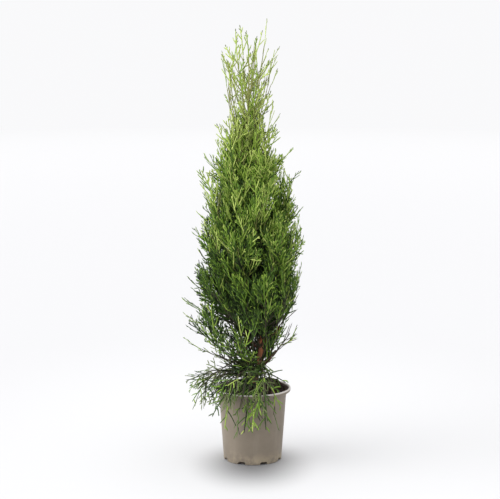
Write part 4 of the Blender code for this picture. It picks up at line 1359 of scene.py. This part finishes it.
def make_trunk_bark(settings):
    """The trunk: at each height a ring about the trunk's line, of the trunk's radius times its
    fibrous relief, with three lobes that swell into the root flare. Foot and tip are closed."""
    rows, around = 460, 72
    low, high = TRUNK_FOOT, TRUNK_TOP
    share = np.linspace(0, 1, rows)
    height = low + (high - low) * share**1.25
    turn = np.arange(around) / around * math.tau
    line = np.array([hermite(TRUNK_BENDS, max(h, RINGS[1])) for h in height])
    size = np.array([trunk_radius(h) for h in height])
    above = (height - low)[:, None]
    fade = np.clip(1 - above / 0.55, 0.15, 1)
    relief = bark_relief(settings.relief / TRUNK_RADIUS)(above, turn[None])
    lobes = 0.22 * np.exp(-above / 0.009) * np.cos(3 * turn + 0.8)[None]
    radius = size[:, None] * (1 + relief * fade + lobes)
    x, y = line[:, 0, None] + radius * np.cos(turn), line[:, 1, None] + radius * np.sin(turn)
    grid = np.stack([x, y, np.repeat(height[:, None], around, 1)], -1)
    foot = [[line[0, 0], line[0, 1], low]]
    tip = [[line[-1, 0], line[-1, 1], high + 0.001]]
    points = np.concatenate([foot, grid.reshape(-1, 3), tip])
    triangles, quads = closed_rows(rows, around)
    return mesh_piece("trunk_bark", points, [triangles, quads], [bark_material("trunk_bark", settings)])


def bough_path(mass, steps):
    """The bough from inside the trunk, out by the limb's curve to where the stem takes over."""
    share = np.linspace(0, mass.bare, steps)
    limb = [mass.on_limb(s) for s in share]
    inside = mass.heart.lerp(mass.root, 0.35)
    return [inside, mass.root.lerp(inside, 0.4), mass.root] + limb


def make_bough_bark(settings):
    """Every bough: a tube along its limb's curve with a swollen collar at the trunk and the bark's
    relief, ending in the mass of foliage that its stem carries on. Their bark is darkened to a
    quarter as painted shade, for the crown's shade."""
    blocks = []
    for mass, _ in grown_crown():
        if mass.bare == 0:
            continue
        line = bough_path(mass, 26)
        along = np.linspace(0, 1, len(line))
        radii = BOUGH_RADIUS + (BOUGH_TIP_RADIUS - BOUGH_RADIUS) * along
        radii = radii * (1 + 0.55 * np.exp(-along / 0.09))
        blocks.append(picked(tube(line, radii, 18, bark_relief(0.14)), 0))
    points, faces, picks = joined(blocks)
    # Painted shade: the boughs' bark is a darkened copy of the trunk's.
    return mesh_piece("bough_bark", points, faces, [bark_material("bough_bark", settings, 0.26)], picks)


def make_twigs(settings):
    """Every mass's stem, from its bough or from inside the trunk, the slighter limbs beside it and
    every twig, as thin tapering tubes. A twig is straight but for a slight kink. The twigs of the
    lowest tiers are brown and the rest are green."""
    draw = np.random.default_rng(SEED + 1)
    brown = twig_material("twig_bark", tuple(settings.twig))
    green = twig_material("green_twig", tuple(settings.green_twig))
    blocks = []
    for mass, growth in grown_crown():
        number = int(mass.tier >= MIDDLE)
        share = np.linspace(mass.bare, STEM_END, 16)
        line = [mass.on_limb(s) for s in share]
        if mass.bare == 0:
            line = [mass.heart.lerp(mass.root, 0.2), mass.root] + line[1:]
        first = STEM_RADIUS if mass.bare == 0 else BOUGH_TIP_RADIUS
        blocks.append(picked(tube(line, np.linspace(first, STEM_TIP_RADIUS, len(line)), 8), number))
        for limb in growth.side_limbs:
            line = [bezier(*limb, share) for share in np.linspace(0, SIDE_LIMB_END, 16)]
            blocks.append(picked(tube(line, np.linspace(STEM_RADIUS, STEM_TIP_RADIUS, 16), 6), number))
        for place, end in growth.twigs:
            run = np.array(end - place)
            size = np.linalg.norm(run)
            t = np.linspace(0, 1, 7)[:, None]
            kink = np.array(Vector(run).orthogonal().normalized()) * size * draw.uniform(-0.05, 0.05)
            line = np.array(place) + run * t + kink * np.sin(t * math.tau * 0.75)
            radii = np.linspace(TWIG_RADIUS * 0.9, STEM_TIP_RADIUS * 0.8, 7)
            blocks.append(picked(tube(line, radii, 5), number))
    points, faces, picks = joined(blocks)
    return mesh_piece("crown_twigs", points, faces, [brown, green], picks)


# Sprays of scale leaves


class Shoots:
    """Scaly branchlets gathered as arrays: base, way, the side in the spray's plane, the bend, the
    length, the width and the tint."""

    def __init__(self):
        self.rows = []

    def add(self, base, way, side, bend, length, width, tint):
        count = len(length)
        width, tint = (np.broadcast_to(part, count)[:, None] for part in (width, tint))
        parts = (base, way, side, bend, length[:, None], width, tint)
        self.rows.append(np.concatenate([np.broadcast_to(p, (count, p.shape[-1])) for p in parts], 1))

    def table(self):
        """The arrays of all the branchlets, in the order that add takes them."""
        base, way, side, bend, rest = np.split(np.concatenate(self.rows), (3, 6, 9, 12), axis=1)
        return base, way, side, bend, *rest.T


def unit(vectors):
    return vectors / np.linalg.norm(vectors, axis=-1, keepdims=True)


def shoot_blocks(shoots, ring):
    """The branchlets' meshes. With t from 0 at the base to 1 at the tip, the middle line is
    base + length (way t + bend t t). Rings of four points, wide across the spray and thin through it,
    stand at even steps. Each second ring is narrower, as the scales overlap, and both ends close on
    a pole."""
    base, way, side, bend, length, width, tint = shoots.table()
    rings_of = np.clip(np.round(length / ring), 2, 26).astype(int)
    for rings in np.unique(rings_of):
        chosen = rings_of == rings
        b, w, s, k = base[chosen], way[chosen], side[chosen], bend[chosen]
        size = length[chosen][:, None, None]
        count = len(b)
        t = np.concatenate([[0], (np.arange(rings) + 0.6) / rings, [1]])[None, :, None]
        line = b[:, None] + size * (w[:, None] * t + k[:, None] * t * t)
        face = unit(np.cross(w, s))
        teeth = np.where(np.arange(rings) % 2 == 1, 1.0, 0.76)
        taper = 1 - 0.30 * (np.arange(rings) / rings) ** 1.5
        half = (width[chosen][:, None] / 2 * teeth * taper)[..., None, None]
        corner = np.stack([s, face * 0.5, -s, -face * 0.5], 1)
        points = line[:, 1:-1, None] + corner[:, None] * half
        points = np.concatenate([line[:, :1], points.reshape(count, -1, 3), line[:, -1:]], 1)
        triangles, quads = closed_rows(rings, 4)
        per = points.shape[1]
        faces = [repeat_faces(block, per, count) for block in (triangles, quads)]
        picks = [np.repeat(tint[chosen].astype(int), len(block)) for block in (triangles, quads)]
        yield points.reshape(-1, 3), faces, picks


def tints_near(light, draw, count, spread=TINT_SPREAD):
    """Tints for a number of branchlets: a light on the scale of tints, give or take a spread."""
    return np.clip(np.round(light + draw.normal(0, spread, count)), DARK, PALE)


def spray_light(mass, frame_at, length, draw):
    """How far out in the crown a spray stands, from 0 at the trunk to 1 at the surface of the dense
    body, and its place on the scale of tints: lighter with height by a smooth step, as painted light and
    partly the paler young growth, darker towards the trunk as painted shade, and chance besides."""
    end = frame_at @ Vector((length * 0.7, 0, 0))
    depth = body_depth(end)
    rise = np.clip((end.z - LIGHTER_FROM) / LIGHTER_OVER, 0, 1)
    rise = rise * rise * (3 - 2 * rise)
    shade = max(0, 1 - depth) ** 1.2
    # Painted light that grows with height, and painted shade that grows towards the trunk
    light = LIGHT_LOW + LIGHT_BY_HEIGHT * rise - LIGHT_BY_SHADE * shade * (1 - 0.5 * rise)
    light += draw.normal(0, LIGHT_SPREAD)
    if mass.skirt:
        light += SKIRT_LIGHT
    if mass.tier >= PLUME:
        light += PLUME_LIGHT
    return depth, light


def whole_tint(mass, depth, light, draw):
    """The one tint of a whole spray, or None where its branchlets differ. A few sprays close to the
    trunk are dry, some on the skirt are olive, and each one from the neck up has a tint of its own."""
    tint = None
    if depth < DRY_DEPTH and mass.tier < NECK and draw.uniform() < DRY_SHARE:
        tint = DRY
    if mass.skirt and draw.uniform() < OLIVE_SHARE:
        tint = BUD
    if mass.tier >= NECK:
        tint = tints_near(light, draw, 1, WHOLE_SPREAD)[0]
    return tint


def add_fan(shoots, frame_at, length, lighter, mass, draw, width):
    """One spray. Its axis runs along the frame's X with a bend. Side branchlets leave it by turns to
    left and right, at a step and an angle. With t from 0 at its foot to 1 at its tip, their length is
    the spray's times 0.42 (1 - t)^0.5, and less near the foot. A spray in the heart of the crown, which
    hardly shows, and one outside the dense body have fewer branchlets."""
    step, angle, reach, lift, third = SPRAY_SHAPES[mass.tier_name]
    depth, light = spray_light(mass, frame_at, length, draw)
    light += lighter
    if depth < COARSE_DEPTH:
        step, third = step * COARSE_STEP, 0
    if depth > OPEN_DEPTH:
        step, third = step * OPEN_STEP, third * OPEN_FORKS
    whole = whole_tint(mass, depth, light, draw)

    def tints(count, more=0.0):
        return tints_near(light + more, draw, count) if whole is None else np.full(count, whole)

    matrix = np.array(frame_at)
    origin, x, y = matrix[:3, 3], matrix[:3, 0], matrix[:3, 1]
    up = np.array([0.0, 0.0, 1.0])
    bend = up * lift - x * (up @ x) * lift + y * draw.uniform(-0.08, 0.08)
    axis = (origin[None], x[None], y[None], bend[None], np.array([length]), width * AXIS_WIDTH)
    shoots.add(*axis, tints(1))
    count = max(3, int(length * FAN_RUN / step))
    t = FAN_START + FAN_RUN * (np.arange(count) + draw.uniform(0.2, 0.8, count)) / count
    hand = np.where(np.arange(count) % 2, 1.0, -1.0) * draw.choice((-1, 1))
    base = origin + length * (x * t[:, None] + bend * (t * t)[:, None])
    run = unit(x + 2 * bend * t[:, None])
    plane = unit(y - run * (run @ y)[:, None])
    turn = np.radians(angle + draw.uniform(-ANGLE_SPREAD, ANGLE_SPREAD, count))[:, None]
    out = plane * hand[:, None]
    normal = np.cross(run, plane)
    tilt = normal * draw.uniform(-0.15, 0.15, count)[:, None]
    way = unit(run * np.cos(turn) + out * np.sin(turn) + tilt)
    spread = reach * mass.width / USUAL_WIDTH
    size = length * FAN_LENGTH * spread * (1 - t) ** 0.5 * np.minimum(1, (t + 0.16) / 0.36)
    size = np.maximum(size * draw.uniform(0.65, 1.20, count), SHORTEST_BRANCHLET)
    side = unit(out * np.cos(turn) - run * np.sin(turn))
    curve = run * 0.18 + up * lift * 0.5
    shoots.add(base, way, side, curve, size, width, tints(count))
    if mass.tier >= NECK:
        add_buds(shoots, origin + length * (x + bend), unit(x + 2 * bend), y, draw)
    forks = (third * size / FORK_STEP + draw.uniform(0, 1, count)).astype(int)
    forks = np.where(size > FORKED_FROM, forks, 0)
    if forks.any():
        add_forks(shoots, (base, way, side, curve, size, normal), forks, angle, width, draw, tints)


def add_forks(shoots, parents, forks, angle, width, draw, tints):
    """Branchlets of the third order: so many on each parent, by turns to its two sides, shorter
    towards its tip."""
    owner = np.repeat(np.arange(len(forks)), forks)
    base, way, side, curve, size, normal = (part[owner] for part in parents)
    rank = np.concatenate([np.arange(n) for n in forks if n])
    count = len(rank)
    u = 0.30 + 0.52 * (rank + draw.uniform(0.2, 0.8, count)) / forks[owner]
    flip = np.where(rank % 2, 1.0, -1.0)
    root = base + size[:, None] * (way * u[:, None] + curve * (u * u)[:, None])
    lean = np.radians(angle + draw.uniform(-ANGLE_SPREAD, ANGLE_SPREAD, count))[:, None]
    out = side * flip[:, None]
    tilt = normal * draw.uniform(-0.12, 0.12, count)[:, None]
    fork_way = unit(way * np.cos(lean) + out * np.sin(lean) + tilt)
    fork_side = unit(out * np.cos(lean) - way * np.sin(lean))
    length = (size * 0.50 * (1 - u) ** 0.6 + 0.0035) * draw.uniform(0.75, 1.2, count)
    shoots.add(root, fork_way, fork_side, curve, length, width * FORK_WIDTH, tints(count, FORK_LIGHT))


def add_buds(shoots, place, way, side, draw):
    """The thick end of a young shoot: a bud on the shoot's line with a smaller one beside it."""
    ends = np.stack([place - way * 0.003, place - way * 0.007])
    ways = unit(np.stack([way, way + side * draw.choice((-0.7, 0.7))]))
    lengths = np.array([0.008, 0.006]) * draw.uniform(0.8, 1.2)
    shoots.add(ends, ways, side[None], np.zeros((1, 3)), lengths, BUD_WIDTH, np.full(2, BUD))


def make_sprays(settings):
    """One piece for each tier: every spray of its masses, with its side branchlets and their forks."""
    materials = [leaf_material("leaf_" + name, tuple(getattr(settings, name))) for name in TINTS]
    made = []
    for tier, row in enumerate(TIERS):
        draw = np.random.default_rng(SEED * 100 + tier)
        shoots = Shoots()
        for mass, growth in grown_crown():
            if mass.tier != tier:
                continue
            for frame_at, length, lighter in growth.sprays:
                add_fan(shoots, frame_at, length, lighter, mass, draw, settings.branchlet)
        points, faces, picks = joined(shoot_blocks(shoots, settings.ring))
        piece = mesh_piece(f"{row[0]}_sprays", points, faces, materials, picks)
        made.append((row, tier, piece))
    return made


# The stage


def make_floor(settings):
    """A wide flat floor of one grid cell. Its pale material has painted shade, a soft darker patch under
    the pot, and painted light, a paler patch round it. Far out it gives way to the colour of the
    surround, so that no horizon shows."""
    half = 30.0
    points = np.array([(-half, -half, 0), (half, -half, 0), (half, half, 0), (-half, half, 0)])
    made, tree, shader = new_material("pale_floor", 0.75, settings.floor)
    place = add_node(tree, "TexCoord").outputs["Object"]
    inputs = {"Vector": place, "Location": SHADOW_PLACE, "Scale": SHADOW_STRETCH}
    place = add_node(tree, "Mapping", inputs).outputs["Vector"]
    apart = add_node(tree, "VectorMath", {0: place}, operation="LENGTH").outputs["Value"]
    # Painted light: the floor is made a tenth paler in a wide ring round the pot.
    painted_light_pool = ramp(tree, apart, 1.10, 0.18)
    base = mixed(tree, painted_light_pool, tuple(settings.floor), toned(settings.floor, 1.10))
    # Painted shade: the floor is darkened to 0.36 of its colour under and in front of the pot.
    painted_shadow = ramp(tree, apart, 0.150, 0.0)
    base = mixed(tree, painted_shadow, base, toned(settings.floor, 0.36))
    far = ramp(tree, apart, 2.0, 8.0)
    tree.links.new(mixed(tree, far, base, (0.0, 0.0, 0.0)), shader.inputs["Base Color"])
    inputs = {"Value": far, "To Min": 0.2, "To Max": 0.0}
    sheen = add_node(tree, "MapRange", inputs).outputs["Result"]
    tree.links.new(sheen, shader.inputs["Specular IOR Level"])
    shader.inputs["Emission Color"].default_value = (*settings.sky, 1.0)
    tree.links.new(far, shader.inputs["Emission Strength"])
    return mesh_piece("studio_floor", points, [np.array([[0, 1, 2, 3]])], [made], smooth=False)


def make_surround(settings):
    """Soft light from all round, as in a white tent: even along the horizon, brighter overhead, and
    with a wide soft key from the upper left of the viewer. Its strength is 1 + (top - 1) s + key k d^8,
    where s is a smooth step up to the zenith, d is max(0, direction . key direction), and k keeps the
    key off the horizon: it goes from 0 there to 1 a little above."""
    world = bpy.data.worlds.new("surround")
    world.use_nodes = True
    tree = world.node_tree
    back = tree.nodes["Background"]
    back.inputs["Color"].default_value = (*settings.sky, 1.0)
    way = add_node(tree, "TexCoord").outputs["Generated"]
    rise = add_node(tree, "SeparateXYZ", {0: way}).outputs[2]
    height = ramp(tree, rise, 0.10, 1.0)
    inputs = {0: height, 1: settings.top - 1, 2: 1.0}
    overhead = add_node(tree, "Math", inputs, operation="MULTIPLY_ADD").outputs[0]
    facing = add_node(tree, "VectorMath", {0: way, 1: KEY_WAY}, operation="DOT_PRODUCT").outputs["Value"]
    facing = add_node(tree, "Math", {0: facing, 1: 0.0}, operation="MAXIMUM").outputs[0]
    lobe = add_node(tree, "Math", {0: facing, 1: KEY_POWER}, operation="POWER").outputs[0]
    lobe = times(tree, lobe, ramp(tree, rise, 0.0, 0.06))
    inputs = {0: lobe, 1: settings.key, 2: overhead}
    total = add_node(tree, "Math", inputs, operation="MULTIPLY_ADD").outputs[0]
    tree.links.new(total, back.inputs["Strength"])
    bpy.context.scene.world = world


def add_camera(settings):
    """The photograph's view: a long lens, a little above the pot, tipped down by 8.3 degrees."""
    lens, sensor, tip, sideways = 108.0, 36.0, 8.3, -0.0059
    data = bpy.data.cameras.new("view")
    data.lens = lens
    data.sensor_width = sensor
    camera = bpy.data.objects.new("view", data)
    camera.location = (sideways, -settings.distance, settings.height)
    camera.rotation_euler = (math.radians(90.0 - tip), 0.0, 0.0)
    bpy.context.scene.collection.objects.link(camera)
    bpy.context.scene.camera = camera


# Operators


def fit(piece, slot, *nodes):
    """The piece rides on the plant's one body and stands for nodes, which it hides. The slot is not used.
    """
    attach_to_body(piece, BODY)
    if nodes:
        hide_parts(*nodes)


class ARBORVITAE_OT_add_pot(Operator):
    """Add the moulded nursery pot with its rolled lip and drain notches"""

    bl_idname = "arborvitae.add_pot"
    bl_label = "Pot"

    def execute(self, context):
        fit(make_pot(context.scene.arborvitae.pot), "pot", "pot")
        return {"FINISHED"}


class ARBORVITAE_OT_add_soil(Operator):
    """Add the heaped potting soil and its loose crumbs"""

    bl_idname = "arborvitae.add_soil"
    bl_label = "Soil"

    def execute(self, context):
        bed, crumbs = make_soil(context.scene.arborvitae.soil)
        fit(bed, "soil", "soil")
        fit(crumbs, "soil")
        return {"FINISHED"}


class ARBORVITAE_OT_add_bark(Operator):
    """Add the trunk and the boughs with their fibrous bark"""

    bl_idname = "arborvitae.add_bark"
    bl_label = "Trunk and Boughs"

    def execute(self, context):
        settings = context.scene.arborvitae.bark
        fit(make_trunk_bark(settings), "bark", "trunk")
        boughs = [mass.name + "_bough" for mass, _ in grown_crown() if mass.bare > 0]
        fit(make_bough_bark(settings), "bark", *boughs)
        return {"FINISHED"}


class ARBORVITAE_OT_add_twigs(Operator):
    """Add the stems and twigs inside the foliage"""

    bl_idname = "arborvitae.add_twigs"
    bl_label = "Twigs"

    def execute(self, context):
        fit(make_twigs(context.scene.arborvitae.bark), "bark")
        return {"FINISHED"}


class ARBORVITAE_OT_add_foliage(Operator):
    """Add the sprays of scale leaves, one piece for each tier of the crown"""

    bl_idname = "arborvitae.add_foliage"
    bl_label = "Foliage"

    def execute(self, context):
        slots = ("foliage_deep", "foliage_green", "foliage_lime")
        tiers_each = len(TIERS) // len(slots)
        for row, tier, piece in make_sprays(context.scene.arborvitae.foliage):
            nodes = [f"{row[0]}_{place + 1}_foliage" for place in range(row[1])]
            fit(piece, slots[tier // tiers_each], *nodes)
        return {"FINISHED"}


class ARBORVITAE_OT_add_stage(Operator):
    """Add the pale floor, the soft studio light and the camera"""

    bl_idname = "arborvitae.add_stage"
    bl_label = "Stage"

    def execute(self, context):
        settings = context.scene.arborvitae.stage
        make_floor(settings)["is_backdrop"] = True
        make_surround(settings)
        add_camera(settings)
        context.scene.view_settings.view_transform = "Standard"
        return {"FINISHED"}


class ARBORVITAE_PT_panel(Panel):
    """The plant's pieces and their sizes and colours"""

    bl_idname = "ARBORVITAE_PT_panel"
    bl_label = "Potted Arborvitae"
    bl_space_type = "VIEW_3D"
    bl_region_type = "UI"
    bl_category = "Arborvitae"

    def draw(self, context):
        settings = context.scene.arborvitae
        for operator, group in PIECES:
            box = self.layout.box()
            box.operator(operator.bl_idname)
            if group:
                part = getattr(settings, group)
                for name in part.__annotations__:
                    box.prop(part, name)


PIECES = (
    (ARBORVITAE_OT_add_pot, "pot"),
    (ARBORVITAE_OT_add_soil, "soil"),
    (ARBORVITAE_OT_add_bark, "bark"),
    (ARBORVITAE_OT_add_twigs, None),
    (ARBORVITAE_OT_add_foliage, "foliage"),
    (ARBORVITAE_OT_add_stage, "stage"),
)
GROUPS = (PotSettings, SoilSettings, BarkSettings, FoliageSettings, StageSettings, ArborvitaeSettings)


def register():
    for made in GROUPS + tuple(operator for operator, _ in PIECES) + (ARBORVITAE_PT_panel,):
        bpy.utils.register_class(made)
    bpy.types.Scene.arborvitae = PointerProperty(type=ArborvitaeSettings)


def unregister():
    del bpy.types.Scene.arborvitae
    for made in (ARBORVITAE_PT_panel,) + tuple(operator for operator, _ in PIECES) + GROUPS[::-1]:
        bpy.utils.unregister_class(made)


def main():
    register()
    bpy.ops.arborvitae.add_pot()
    bpy.ops.arborvitae.add_soil()
    bpy.ops.arborvitae.add_bark()
    bpy.ops.arborvitae.add_twigs()
    bpy.ops.arborvitae.add_foliage()
    bpy.ops.arborvitae.add_stage()
    sizes = {"frame": FRAME_BOX, "visual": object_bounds()}
    {name: [list(corner) for corner in box] for name, box in sizes.items()}


if __name__ == "__main__":
    main()
